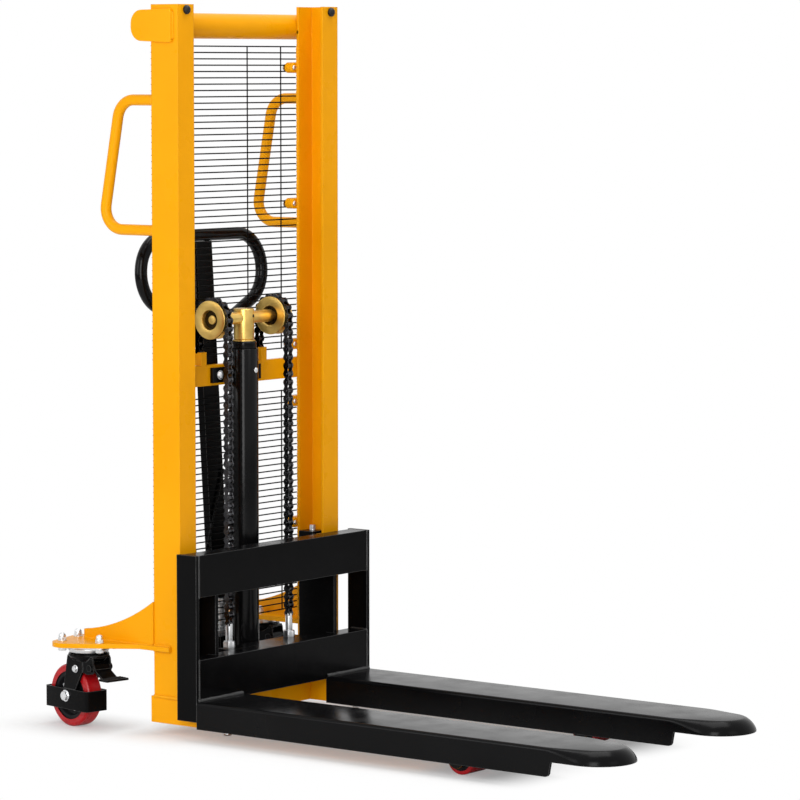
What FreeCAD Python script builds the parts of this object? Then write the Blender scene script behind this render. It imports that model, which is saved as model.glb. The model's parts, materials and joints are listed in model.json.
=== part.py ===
import FreeCAD
import Part
import Sketcher

import math
import os
import re

from FreeCAD import Placement, Rotation, Vector

# Hand pallet stacker: a yellow channel mast on two straddle legs, a black fork carriage hung on
# two roller chains, a hydraulic ram with a chain crosshead, a hand pump with its tiller, and two
# braked swivel casters. Millimetres, +Z up, forks towards -Y, the operator stands at +Y.
doc = FreeCAD.newDocument("pallet_stacker")

# Driving dimensions. Places called offset, reach or gap are measured from the part they are named for.
SIZES = [
    ("mast_height", 1600, "floor to the top of the columns"),
    ("mast_width", 556, "over both columns"),
    ("column_flange", 54, "column size across the machine"),
    ("column_depth", 76, "column size along the machine"),
    ("column_wall", 6, "wall of the column channel"),
    ("ear_height", 66, "height of the plates that hold the top tube"),
    ("ear_thick", 8, "thickness of those plates"),
    ("ear_drop", 45, "mast top down to the axis of the top tube"),
    ("ear_start", 14, "mast front to the front end of the ear plates"),
    ("tube_radius", 28, "top cross tube"),
    ("tube_wall", 3, "wall of the top cross tube"),
    ("weld_gap", 0.5, "room left for a weld behind the columns"),
    ("button_radius", 10, "rubber stop button on each column"),
    ("button_depth", 10, "how far the stop button stands out"),
    ("button_drop", 12, "mast top down to the stop button"),
    ("grip_radius", 12, "tube of the grab handles"),
    ("grip_wall", 2.5, "wall of that tube"),
    ("grip_top", 1393, "height of the upper arm of a grab handle"),
    ("grip_bottom", 1109, "height of the lower arm"),
    ("grip_top_reach", 102, "column back to the upper bend"),
    ("grip_bottom_reach", 155, "column back to the lower bend"),
    ("grip_bend", 46, "bend radius of the grab handles"),
    ("grip_inset", 14, "column outside to the handle centre"),
    ("mesh_wire", 3, "wire of the mesh guards"),
    ("mesh_lap", 26, "how far the mesh laps each column"),
    ("mesh_bar", 79, "middle to the inner upright wire"),
    ("post_inset", 26, "column to the outer upright wires"),
    ("mesh_pitch", 14, "spacing of the level wires"),
    ("mesh_gap", 22.5, "column back to the mesh"),
    ("upper_mesh_bottom", 823, "height of the upper guard's lowest wire"),
    ("upper_mesh_rows", 49, "gaps between its level wires"),
    ("lower_mesh_lift", 24, "outriggers up to the lower guard's lowest wire"),
    ("lower_mesh_rows", 36, "gaps between its level wires"),
    ("lug_height", 24, "guard lug"),
    ("lug_reach", 18, "how far a lug reaches in past the column"),
    ("lug_seat", 26, "how far a lug lies on the column"),
    ("lug_1", 1463, "height of the first guard lug"),
    ("lug_2", 1155, "height of the second guard lug"),
    ("lug_3", 834, "height of the third guard lug"),
    ("lug_4", 703, "height of the fourth guard lug"),
    ("lug_5", 424, "height of the fifth guard lug"),
    ("screw_radius", 6, "head of a guard screw"),
    ("screw_height", 4, "height of that head"),
    ("beam_bottom", 758, "height of the middle cross beam"),
    ("beam_height", 46, "size of that beam upwards"),
    ("beam_thick", 14, "size of that beam along the machine"),
    ("beam_lap", 26, "how far the beam laps each column"),
    ("chain_lug_width", 18, "rear chain anchor on the beam"),
    ("chain_lug_height", 29.5, "height of that anchor"),
    ("cylinder_radius", 32, "lift cylinder outside"),
    ("cylinder_wall", 5, "wall of the lift cylinder"),
    ("cylinder_top", 838, "height of the cylinder tube"),
    ("gland_inset", 4, "cap within the cylinder's outline"),
    ("gland_height", 17.5, "height of that cap"),
    ("saddle_depth", 4, "how deep the cylinder lies in the middle beam"),
    ("rod_radius", 19, "piston rod"),
    ("rod_bottom", 150, "height of the piston's underside"),
    ("piston_height", 40, "piston on the rod"),
    ("clamp_wing", 52, "each clamp ear beyond the cylinder"),
    ("clamp_height", 34, "clamp ears, upwards"),
    ("clamp_set", 20, "ram axis to the front of the clamp ears"),
    ("clamp_bolt_gap", 27, "cylinder to the axis of each clamp bolt"),
    ("yoke_gap", 2, "cylinder cap to the crosshead"),
    ("yoke_radius", 23, "crosshead boss"),
    ("yoke_height", 70, "height of the crosshead boss"),
    ("shaft_radius", 14, "crosshead shaft"),
    ("shaft_collar", 17, "collar of the shaft beside the boss"),
    ("shaft_end", 1, "how far the shaft passes the pulleys"),
    ("pulley_x", 105, "middle to each chain pulley"),
    ("pulley_height", 907, "height of the pulley shaft"),
    ("pulley_radius", 43, "pulley flange"),
    ("pulley_groove", 34, "pulley groove"),
    ("pulley_width", 28, "pulley over both flanges"),
    ("pulley_flange", 4, "thickness of one flange"),
    ("pulley_recess", 22, "radius of the recess in each face"),
    ("pulley_recess_depth", 6, "depth of that recess"),
    ("chain_radius", 42, "pitch line of the chain on the pulley"),
    ("chain_width", 16, "chain across the machine"),
    ("running_fit", 0.05, "clearance of a pin in its bore, on the radius"),
    ("part_gap", 0.3, "clearance between pieces that move past each other"),
    ("carriage_reach", 69, "mast front to the front of the carriage"),
    ("beam_depth", 45, "carriage beams along the machine"),
    ("beam_wall", 5, "wall of the carriage beams"),
    ("upper_beam_bottom", 317, "height of the upper carriage beam"),
    ("carriage_top", 409, "height of the carriage's top edge"),
    ("lower_beam_top", 180, "height of the lower carriage beam's top"),
    ("side_plate", 10, "thickness of the carriage side plates"),
    ("side_depth", 55, "side plates along the machine"),
    ("side_bottom", 45, "height of the side plates' lower end"),
    ("anchor_plate_half", 135, "chain anchor plate, half its width"),
    ("anchor_margin", 8, "chain to the rear edge of the anchor plate"),
    ("cylinder_room", 3, "anchor plate to the lift cylinder"),
    ("anchor_plate_thick", 12, "chain anchor plate"),
    ("anchor_radius", 6, "threaded chain anchor"),
    ("anchor_below", 24, "anchor thread under its plate"),
    ("anchor_nut", 11, "radius of the anchor nut"),
    ("anchor_nut_height", 14, "height of the anchor nut"),
    ("anchor_head", 8, "radius of the anchor's head at the chain"),
    ("anchor_head_height", 39, "height of that head"),
    ("roller_plate_gap", 10, "column to the roller plates"),
    ("roller_plate", 10, "thickness of the roller plates"),
    ("roller_plate_top", 402, "height of the roller plates"),
    ("roller_plate_bottom", 100, "height of their lower edge"),
    ("roller_plate_margin", 18, "guide roller axis to the rear edge of the plates"),
    ("roller_plate_nose", 22, "how far they reach between the beams"),
    ("tab_width", 30, "tab on a roller plate beyond its face, into the column"),
    ("tab_thick", 6, "thickness of that tab"),
    ("tab_length", 40, "length of that tab"),
    ("stop_bolt_radius", 6, "head of the bolt on each tab"),
    ("stop_bolt_height", 12, "height of that head"),
    ("washer_radius", 8, "washer under that bolt"),
    ("washer_height", 2, "thickness of that washer"),
    ("guide_play", 1, "guide roller to the column's lips"),
    ("guide_width", 30, "width of a guide roller"),
    ("guide_gap", 17, "roller plate to the guide roller"),
    ("guide_pin", 10, "radius of the guide roller pins"),
    ("guide_low", 135, "height of the lower guide rollers"),
    ("guide_high", 368, "height of the upper guide rollers"),
    ("fork_overhang", 28, "fork beyond the outside of the column"),
    ("fork_width", 160, "one fork"),
    ("fork_top", 90, "height of the fork's upper face"),
    ("fork_wall", 6, "plate of the forks"),
    ("fork_bottom", 30, "height of the fork walls' lower edge"),
    ("fork_reach", 1151, "mast front to the fork tip"),
    ("fork_wall_reach", 1007, "mast front to the end of the fork walls"),
    ("tip_bottom", 50, "height of the tip's lower rim"),
    ("tip_slope", 14, "how far the tip's rim slopes out"),
    ("leg_width", 104, "straddle leg"),
    ("leg_bottom", 28, "height of the legs' underside"),
    ("leg_top", 78, "height of the legs' upper face"),
    ("leg_end", 62, "leg beyond the load roller's axis"),
    ("leg_wall", 6, "wall of the legs and the base crossbar"),
    ("foot_top", 86, "height of the foot under a column"),
    ("foot_back", 9, "foot behind the column"),
    ("foot_front", 18, "foot ahead of the column"),
    ("roller_reach", 749, "mast front to the load roller's axis"),
    ("load_radius", 35, "load roller"),
    ("load_length", 76, "length of the load roller"),
    ("load_core", 24, "radius of the load roller's metal core"),
    ("load_axle", 10, "radius of the load roller's axle"),
    ("load_boss", 20, "radius of the leg around that axle"),
    ("load_room", 7, "room in the leg around the load roller"),
    ("load_side", 2, "room beside the load roller"),
    ("crossbar_margin", 6, "base crossbar behind the columns"),
    ("crossbar_top", 68, "height of the base crossbar"),
    ("stud_radius", 9, "stop stud under each leg"),
    ("stud_height", 17, "height of that stud"),
    ("stud_reach", 90, "mast front to the stop studs"),
    ("outrigger_thick", 10, "thickness of the outriggers"),
    ("outrigger_inset", 50, "column outside to the inner edge of an outrigger"),
    ("outrigger_inner_back", 83, "caster axis to its inner rear corner"),
    ("outrigger_corner", 95, "caster axis to its outer rear corner, outwards along the caster plate"),
    ("outrigger_back", 64.5, "caster axis to that corner, backwards along the caster plate"),
    ("outrigger_start", 26, "mast front to its front end"),
    ("outrigger_nose", 10, "width of that front end"),
    ("outrigger_taper", 34, "column back to where it starts to widen"),
    ("outrigger_round", 39, "radius of its rear corners"),
    ("gusset_thick", 8, "gusset on the outrigger"),
    ("gusset_length", 203, "gusset behind the column"),
    ("gusset_height", 97, "gusset at the column"),
    ("gusset_low", 20, "gusset at its rear end"),
    ("gusset_sweep", 440, "radius of the gusset's concave edge"),
    ("caster_out", 21, "column outside to the caster axis"),
    ("caster_offset", 250, "mast front to the caster axis"),
    ("caster_trail", 46, "caster axis to the wheel axle"),
    ("caster_swing", 10, "how far the casters are turned, degrees"),
    ("caster_splay", 13, "how far the caster plates are splayed, degrees"),
    ("caster_plate_x", 46, "caster top plate, half across"),
    ("caster_plate_y", 58, "caster top plate, half along"),
    ("caster_plate_thick", 6, "caster top plate"),
    ("bolt_x", 36, "caster bolts, half across"),
    ("bolt_y", 47, "caster bolts, half along"),
    ("bolt_radius", 5, "caster bolts"),
    ("bolt_head", 8.5, "radius of their heads and nuts"),
    ("bolt_head_height", 6, "height of their heads"),
    ("nut_height", 10, "height of their nuts"),
    ("dome_height", 6, "dome on the nuts"),
    ("race_radius", 47, "swivel race"),
    ("race_height", 12, "height of the swivel race"),
    ("race_chamfer", 4, "chamfer on the race"),
    ("crown_room", 20.7, "tread to the crown of the caster fork"),
    ("yoke_plate", 9, "crown of the caster fork"),
    ("caster_leg", 5, "thickness of the caster fork's legs"),
    ("caster_leg_gap", 2, "wheel to the caster fork's legs"),
    ("caster_axle", 10, "radius of the caster axle"),
    ("axle_head", 14, "radius of the axle's heads"),
    ("axle_head_width", 8, "width of the axle's heads"),
    ("guard_room", 5, "tread to the ends of the toe guard"),
    ("guard_wall", 3, "toe guard's plate"),
    ("guard_drop", 30, "wheel axle down to the toe guard's lower edge"),
    ("guard_height", 46, "toe guard upwards"),
    ("tyre_radius", 70, "caster wheel"),
    ("tyre_width", 40, "caster tread"),
    ("tyre_round", 5, "rounded edge of the tread"),
    ("hub_radius", 54, "caster hub"),
    ("hub_boss", 20, "radius of the hub's boss"),
    ("hub_web", 10, "thickness of the hub's web, half"),
    ("hub_rim", 8, "rim of the hub"),
    ("pedal_pivot", 38, "caster axis to the brake pedal's pin, forwards"),
    ("pedal_drop", 20.7, "crown of the caster fork down to that pin"),
    ("pedal_pin", 5, "radius of that pin"),
    ("pedal_hub", 10, "radius of the pedal around its pin"),
    ("pedal_half", 30, "brake pedal's tread, half its width"),
    ("pedal_lip", 30, "brake pedal's flat tread, forwards"),
    ("pedal_reach", 103, "caster axis to the pedal's tip"),
    ("pedal_fall", 19, "that pin down to the pedal's tip"),
    ("pedal_thick", 5, "thickness of the brake pedal"),
    ("pump_half", 45, "pump block, half across"),
    ("pump_length", 95, "pump block along the machine"),
    ("pump_bottom", 40, "height of the pump block's underside"),
    ("pump_top", 190, "height of the pump block"),
    ("plunger_radius", 9, "pump plunger"),
    ("plunger_depth", 90, "plunger inside the block"),
    ("plunger_collar", 16, "collar on the plunger"),
    ("collar_height", 12, "height of that collar"),
    ("spring_radius", 13, "coil radius of the pump spring"),
    ("spring_wire", 1.75, "wire radius of the pump spring"),
    ("spring_turns", 8, "turns of the pump spring"),
    ("tiller_offset", 74, "column back to the tiller pivot"),
    ("tiller_pivot", 285, "height of the tiller pivot"),
    ("tiller_lean", 3.4, "how far the tiller leans back, degrees"),
    ("tiller_pin", 8, "radius of the tiller pin"),
    ("tiller_half", 27, "tiller stem, half across"),
    ("stem_depth", 18, "tiller stem along the machine"),
    ("stem_wall", 4, "wall of the tiller stem's channel"),
    ("stem_set", 24, "pivot to the stem's middle, forwards"),
    ("heel_back", 12, "tiller heel behind the pivot"),
    ("heel_front", 42, "tiller heel ahead of the pivot"),
    ("heel_bottom", 14, "tiller heel under the pivot"),
    ("heel_top", 32, "tiller heel above the pivot"),
    ("plunger_set", 32, "pivot to the plunger, forwards"),
    ("ear_gap", 1, "tiller to its bracket"),
    ("bracket_thick", 8, "ears of the tiller bracket"),
    ("bracket_half", 20, "ears of the tiller bracket, half along"),
    ("bracket_top", 18, "bracket above the pivot"),
    ("loop_radius", 14, "tube of the tiller loop"),
    ("loop_wall", 2.5, "wall of that tube"),
    ("loop_half", 209, "tiller loop, half its width"),
    ("loop_top", 803, "pivot to the loop's upper bar"),
    ("loop_shoulder", 672, "pivot to the loop's lower corners"),
    ("loop_bottom", 612, "pivot to where the loop meets the stem"),
    ("loop_bend", 62, "bend radius of the loop"),
    ("lever_gap", 5, "stem to the lowering lever"),
    ("lever_thick", 6, "lowering lever"),
    ("lever_half", 8, "lowering lever, half along"),
    ("lever_bottom", 655, "pivot to the lever's lower end"),
    ("lever_pivot", 670, "pivot to the lever's own pin"),
    ("lever_top", 778, "pivot to the lever's upper end"),
    ("lever_pin", 4, "radius of the lever's pin"),
]

# Places that follow from the driving dimensions.
LAYOUT = [
    ("guard_half_length", "tyre_radius + guard_room"),
    ("guard_half_width", "tyre_width/2 + caster_leg_gap + caster_leg + guard_wall"),
    ("rear_reach", "caster_offset + (caster_trail + guard_half_length)*cos(caster_swing)"
                   " + guard_half_width*sin(caster_swing)"),
    ("mast_front", "(fork_reach - rear_reach)/2"),
    ("column_back", "mast_front + column_depth"),
    ("column_inner", "mast_width/2 - column_flange"),
    ("mesh_half_width", "column_inner + mesh_lap"),
    ("mesh_post", "column_inner - post_inset"),
    ("lug_inner", "column_inner - lug_reach"),
    ("tube_y", "column_back + weld_gap + tube_radius"),
    ("tube_z", "mast_height - ear_drop"),
    ("mesh_front", "column_back + mesh_gap"),
    ("ram_y", "column_back + saddle_depth - cylinder_radius"),
    ("gland_radius", "cylinder_radius - gland_inset"),
    ("clamp_face", "ram_y + clamp_set"),
    ("clamp_half_width", "cylinder_radius + clamp_wing"),
    ("clamp_bolt_x", "cylinder_radius + clamp_bolt_gap"),
    ("gland_top", "cylinder_top + gland_height"),
    ("yoke_bottom", "gland_top + yoke_gap"),
    ("yoke_top", "yoke_bottom + yoke_height"),
    ("chain_front", "ram_y - chain_radius"),
    ("chain_rear", "ram_y + chain_radius"),
    ("chain_half", "chain_radius - pulley_groove - part_gap"),
    ("chain_lug_top", "beam_bottom + beam_height + chain_lug_height"),
    ("carriage_front", "mast_front - carriage_reach"),
    ("carriage_back", "carriage_front + beam_depth"),
    ("fork_span", "mast_width + 2*fork_overhang"),
    ("carriage_inner", "fork_span/2 - side_plate"),
    ("anchor_top", "lower_beam_top + anchor_nut_height + anchor_head_height"),
    ("guide_y", "mast_front + column_depth/2"),
    ("guide_radius", "column_depth/2 - column_wall - guide_play"),
    ("roller_plate_x", "column_inner - roller_plate_gap - roller_plate"),
    ("guide_inner", "roller_plate_x + roller_plate + guide_gap"),
    ("fork_inner", "fork_span/2 - fork_width"),
    ("fork_centre", "(fork_span - fork_width)/2"),
    ("wall_end", "mast_front - fork_wall_reach"),
    ("tip_y", "mast_front - fork_reach + fork_width/2"),
    ("leg_centre", "(mast_width - leg_width)/2"),
    ("leg_inner", "mast_width/2 - leg_width"),
    ("load_y", "mast_front - roller_reach"),
    ("load_slot", "load_length/2 + load_side"),
    ("outrigger_inner", "mast_width/2 - outrigger_inset"),
    ("caster_x", "mast_width/2 + caster_out"),
    ("caster_y", "mast_front + caster_offset"),
    ("crown_bottom", "2*tyre_radius + crown_room"),
    ("crown_top", "crown_bottom + yoke_plate"),
    ("race_bottom", "crown_top + part_gap"),
    ("caster_plate_bottom", "race_bottom + race_height"),
    ("outrigger_bottom", "caster_plate_bottom + caster_plate_thick"),
    ("outrigger_top", "outrigger_bottom + outrigger_thick"),
    ("lower_mesh_bottom", "outrigger_top + lower_mesh_lift"),
    ("guard_bottom", "tyre_radius - guard_drop"),
    ("pedal_pivot_z", "crown_bottom - pedal_drop"),
    ("pedal_tip_z", "pedal_pivot_z - pedal_fall"),
    ("caster_leg_inner", "tyre_width/2 + caster_leg_gap"),
    ("caster_leg_outer", "caster_leg_inner + caster_leg"),
    ("pivot_y", "column_back + tiller_offset"),
    ("plunger_y", "pivot_y - plunger_set"),
    ("plunger_top", "tiller_pivot - heel_bottom - part_gap"),
    ("spring_top", "plunger_top - collar_height"),
    ("pump_front", "column_back + crossbar_margin"),
]

homes = {}


def fill_sheet(name, rows):
    """Write one row per value: its meaning, then the cell that carries the number or formula."""
    sheet = doc.addObject("Spreadsheet::Sheet", name)
    for row, (alias, content, meaning) in enumerate(rows, start=1):
        sheet.set(f"A{row}", meaning)
        sheet.set(f"B{row}", named(content).replace(f"{name}.", ""))
        sheet.setAlias(f"B{row}", alias)
        homes[alias] = f"{name}.{alias}"
    return sheet


def named(formula):
    """A formula with every alias written with the name of its sheet."""
    return re.sub(r"[a-z]\w*", lambda word: homes.get(word[0], word[0]), str(formula))


sizes = fill_sheet("Sizes", SIZES)
layout = fill_sheet("Layout", [(alias, "=" + rule, alias.replace("_", " ")) for alias, rule in LAYOUT])
doc.recompute()


def value(alias):
    """The number that a sheet holds for one alias."""
    sheet = sizes if homes[alias].startswith("Sizes") else layout
    return float(sheet.get(alias))


SIDES = {"right": -1, "left": 1}
pieces = []


def across(side, low, high):
    """A span that is measured outwards from the middle plane, on one side of the machine."""
    return (low, high) if side > 0 else (f"-({high})", f"-({low})")


def piece(label, thing):
    """Name a finished sub-part and keep it for the export."""
    thing.Label = label
    pieces.append(thing)
    return thing


def place(thing, x=0, y=0, z=0, turn=None):
    """Set a piece down at three formulas, turned by a fixed rotation."""
    if turn is not None:
        thing.Placement = Placement(Vector(), turn)
    for axis, formula in zip("xyz", (x, y, z)):
        thing.setExpression(f"Placement.Base.{axis}", named(formula))
    return thing


def block(x, y, z):
    """A box between two formulas along each axis."""
    box = doc.addObject("Part::Box", "Block")
    for size, (low, high) in zip(("Length", "Width", "Height"), (x, y, z)):
        box.setExpression(size, named(f"({high}) - ({low})"))
    return place(box, x[0], y[0], z[0])


ALONG = {"x": Rotation(Vector(0, 1, 0), 90), "y": Rotation(Vector(1, 0, 0), -90), "z": Rotation()}


def rod(axis, centre, span, radius):
    """A cylinder along one axis: its centre on the other two axes, its span and its radius."""
    cylinder = doc.addObject("Part::Cylinder", "Rod")
    cylinder.setExpression("Radius", named(radius))
    cylinder.setExpression("Height", named(f"({span[1]}) - ({span[0]})"))
    spot = list(centre)
    spot.insert("xyz".index(axis), span[0])
    return place(cylinder, *spot, turn=ALONG[axis])


def fuse(*parts):
    """Several shapes welded into one."""
    whole = doc.addObject("Part::MultiFuse", "Fused")
    whole.Shapes = list(parts)
    whole.Refine = True
    return whole


def cut(base, *tools):
    """A shape with others taken out of it."""
    result = doc.addObject("Part::Cut", "Cut")
    result.Base = base
    result.Tool = tools[0] if len(tools) == 1 else fuse(*tools)
    result.Refine = True
    return result


def group(*parts):
    """Separate solids that share one node."""
    bundle = doc.addObject("Part::Compound", "Group")
    bundle.Links = list(parts)
    return bundle


def sketch_in(body, plane, offset=0):
    """An empty sketch on one of the body's own origin planes."""
    sketch = body.newObject("Sketcher::SketchObject", "Outline")
    role = plane.upper() + "_Plane"
    support = next(feature for feature in body.Origin.OriginFeatures if feature.Role == role)
    sketch.AttachmentSupport = [(support, "")]
    sketch.MapMode = "FlatFace"
    sketch.setExpression("AttachmentOffset.Base.z", named(offset))
    return sketch


def tie(sketch, name, kind, geometry, point, formula):
    """One sketch dimension that follows a formula."""
    number = sketch.addConstraint(Sketcher.Constraint(kind, -1, 1, geometry, point, 1.0))
    sketch.renameConstraint(number, name)
    sketch.setExpression(f"Constraints.{name}", named(formula))


def draw_outline(sketch, corners):
    """A closed outline of straight edges, with each corner tied to the sheets."""
    count = len(corners)
    spots = [Vector(math.cos(i * math.tau / count), math.sin(i * math.tau / count)) for i in range(count)]
    for i in range(count):
        sketch.addGeometry(Part.LineSegment(spots[i], spots[(i + 1) % count]))
    for i, (u, v) in enumerate(corners):
        sketch.addConstraint(Sketcher.Constraint("Coincident", i, 2, (i + 1) % count, 1))
        tie(sketch, f"u{i}", "DistanceX", i, 1, u)
        tie(sketch, f"v{i}", "DistanceY", i, 1, v)


def draw_hole(sketch, u, v, radius):
    """A round hole tied to the sheets."""
    number = sketch.addGeometry(Part.Circle(Vector(), Vector(0, 0, 1), 1.0))
    tie(sketch, f"hole{number}_u", "DistanceX", number, 3, u)
    tie(sketch, f"hole{number}_v", "DistanceY", number, 3, v)
    size = sketch.addConstraint(Sketcher.Constraint("Radius", number, 1.0))
    sketch.renameConstraint(size, f"hole{number}_radius")
    sketch.setExpression(f"Constraints.hole{number}_radius", named(radius))


def padded(plane, offset, depth, corners, holes=()):
    """A plate or bar: an outline on one plane, with its round holes, padded to a depth."""
    body = doc.addObject("PartDesign::Body", "Body")
    sketch = sketch_in(body, plane, offset)
    draw_outline(sketch, corners)
    for hole in holes:
        draw_hole(sketch, *hole)
    pad = body.newObject("PartDesign::Pad", "Pad")
    pad.Profile = sketch
    pad.setExpression("Length", named(depth))
    return body


def turned(axis, profile, x=0, y=0, z=0):
    """A body of revolution: its profile's corners are (along the axis, radius)."""
    body = doc.addObject("PartDesign::Body", "Body")
    sketch = sketch_in(body, "yz" if axis == "y" else "xz")
    if axis == "z":
        profile = [(radius, along) for along, radius in profile]
    draw_outline(sketch, profile)
    revolution = body.newObject("PartDesign::Revolution", "Revolution")
    revolution.Profile = sketch
    revolution.ReferenceAxis = (sketch, ["V_Axis" if axis == "z" else "H_Axis"])
    revolution.Angle = 360
    return place(body, x, y, z)


def rounded(corners, radius):
    """Straight runs through the corners of an open path, joined by tangent arcs."""
    edges = []
    start = corners[0]
    for before, corner, after in zip(corners, corners[1:], corners[2:]):
        inward, outward = (before - corner).normalize(), (after - corner).normalize()
        half = inward.getAngle(outward) / 2
        first = corner + inward * (radius / math.tan(half))
        last = corner + outward * (radius / math.tan(half))
        middle = corner + (inward + outward).normalize() * (radius / math.sin(half) - radius)
        edges += [Part.LineSegment(start, first), Part.Arc(first, middle, last)]
        start = last
    return edges + [Part.LineSegment(start, corners[-1])]


def bent_tube(plane, corners, bend, radius, wall, section_plane):
    """A round tube bent along a flat path that leaves its start square to the section plane."""
    body = doc.addObject("PartDesign::Body", "Body")
    path = sketch_in(body, plane)
    for run in rounded([Vector(*corner) for corner in corners], bend):
        path.addGeometry(run)
    section = sketch_in(body, section_plane)
    draw_hole(section, 0, 0, radius)
    draw_hole(section, 0, 0, f"{radius} - {wall}")
    pipe = body.newObject("PartDesign::AdditivePipe", "Pipe")
    pipe.Profile = section
    pipe.Spine = (path, [])
    return body


# Mast: two channels that open towards each other, standing on the feet of the straddle legs.
for side, s in SIDES.items():
    outer, inner = f"{s}*mast_width/2", f"{s}*column_inner"
    web = f"{s}*(mast_width/2 - column_wall)"
    front_lip, back_lip = "mast_front + column_wall", "column_back - column_wall"
    channel = [(outer, "mast_front"), (inner, "mast_front"), (inner, front_lip), (web, front_lip),
               (web, back_lip), (inner, back_lip), (inner, "column_back"), (outer, "column_back")]
    piece(f"{side}_column", padded("xy", "foot_top", "mast_height - foot_top", channel))

# Ear plates welded to the outside of the columns, and the round tube that ties them together.
ears = []
for s in SIDES.values():
    ear_span = across(s, "mast_width/2", "mast_width/2 + ear_thick")
    ear_rise = ("tube_z - ear_height/2", "tube_z + ear_height/2")
    ears.append(fuse(block(ear_span, ("mast_front + ear_start", "tube_y"), ear_rise),
                     rod("x", ("tube_y", "tube_z"), ear_span, "ear_height/2")))
piece("top_ears", group(*ears))
tube_span = ("-mast_width/2", "mast_width/2")
piece("top_tube", cut(rod("x", ("tube_y", "tube_z"), tube_span, "tube_radius"),
                      rod("x", ("tube_y", "tube_z"), tube_span, "tube_radius - tube_wall")))

# Rubber stop buttons on the front of the columns.
button = [("0", "0"), ("0", "button_radius"), ("-0.5*button_depth", "button_radius"),
          ("-0.85*button_depth", "0.75*button_radius"), ("-button_depth", "0.4*button_radius"),
          ("-button_depth", "0")]
piece("stop_buttons", group(*[
    turned("y", button, f"{s}*(mast_width - column_flange)/2", "mast_front", "mast_height - button_drop")
    for s in SIDES.values()]))

# Grab handles: tube bent to a slanting loop behind each column.
grip_drop = value("grip_top") - value("grip_bottom")
grip_path = [(0, 0), (value("grip_top_reach"), 0), (value("grip_bottom_reach"), -grip_drop), (0, -grip_drop)]
for side, s in SIDES.items():
    grip = bent_tube("yz", grip_path, value("grip_bend"), "grip_radius", "grip_wall", "xz")
    piece(f"{side}_grip", place(grip, f"{s}*(mast_width/2 - grip_inset)", "column_back", "grip_top"))


def rectangle(left, right, bottom, top):
    """A closed upright rectangle in the plane Y = 0."""
    corners = [Vector(x, 0, z) for x, z in ((left, bottom), (right, bottom), (right, top), (left, top))]
    return Part.makePolygon(corners + corners[:1])


def mesh_guard(label, bottom, rows):
    """A wire guard as one holed face: level wires at one pitch, crossed by five upright wires."""
    wire, pitch, edge = value("mesh_wire"), value("mesh_pitch"), value("mesh_half_width")
    bar, post = value("mesh_bar"), value("mesh_post")
    uprights = [-edge + wire / 2, -post, bar, post, edge - wire / 2]
    bays = [(left + wire / 2, right - wire / 2) for left, right in zip(uprights, uprights[1:])]
    count = round(value(rows))
    gaps = [rectangle(left, right, row * pitch + wire, (row + 1) * pitch)
            for row in range(count) for left, right in bays]
    border = rectangle(-edge, edge, 0, count * pitch + wire)
    net = Part.makeFace([border] + gaps, "Part::FaceMakerBullseye")
    guard = doc.addObject("Part::Feature", "Mesh")
    guard.Shape = net.extrude(Vector(0, wire, 0))
    guard.Placement = Placement(Vector(0, value("mesh_front"), value(bottom)), Rotation())
    return piece(label, guard)


mesh_guard("upper_mesh_guard", "upper_mesh_bottom", "upper_mesh_rows")
mesh_guard("lower_mesh_guard", "lower_mesh_bottom", "lower_mesh_rows")

# Lugs behind the columns that carry the guards.
lugs = [f"lug_{number}" for number in range(1, 6)]
piece("guard_lugs", group(*[
    block(across(s, "lug_inner", "column_inner + lug_seat"), ("column_back", "mesh_front"),
          (f"{lug} - lug_height/2", f"{lug} + lug_height/2"))
    for s in SIDES.values() for lug in lugs]))

# Middle cross beam behind the columns, with a saddle for the cylinder and the anchors of the rear
# chain strands on top.
beam_rear = ("column_back", "column_back + beam_thick")
beam_top = "beam_bottom + beam_height"
chain_seats = [block((f"{s}*pulley_x - chain_lug_width/2", f"{s}*pulley_x + chain_lug_width/2"),
                     ("column_back", "chain_rear + chain_half"), (beam_top, "chain_lug_top"))
               for s in SIDES.values()]
ram_axis = ("0", "ram_y")
saddle = rod("z", ram_axis, ("beam_bottom", beam_top), "cylinder_radius + running_fit")
piece("middle_beam", cut(fuse(block(("-column_inner - beam_lap", "column_inner + beam_lap"), beam_rear,
                                    ("beam_bottom", beam_top)), *chain_seats), saddle))

# Straddle legs: box sections with a tall foot under the column and a slot for the load roller.
for side, s in SIDES.items():
    leg_back, foot_face, leg_nose = "column_back + foot_back", "mast_front - foot_front", "load_y - leg_end"
    leg_side = [(leg_back, "leg_bottom"), (leg_back, "foot_top"), (foot_face, "foot_top"),
                (foot_face, "leg_top"), (leg_nose, "leg_top"), (leg_nose, "leg_bottom")]
    leg_span = across(s, "leg_inner", "mast_width/2")
    leg = fuse(padded("yz", leg_span[0], "leg_width", leg_side),
               rod("x", ("load_y", "load_radius"), leg_span, "load_boss"))
    hollow = block(across(s, "leg_inner + leg_wall", "mast_width/2 - leg_wall"),
                   ("load_y + load_radius + load_room + leg_wall", "column_back + foot_back"),
                   ("leg_bottom + leg_wall", "leg_top - leg_wall"))
    slot = block(across(s, "leg_centre - load_slot", "leg_centre + load_slot"),
                 ("load_y - load_radius - load_room", "load_y + load_radius + load_room"),
                 ("0", "leg_top"))
    axle_hole = rod("x", ("load_y", "load_radius"), leg_span, "load_axle + running_fit")
    piece(f"{side}_leg", cut(leg, hollow, slot, axle_hole))

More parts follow.
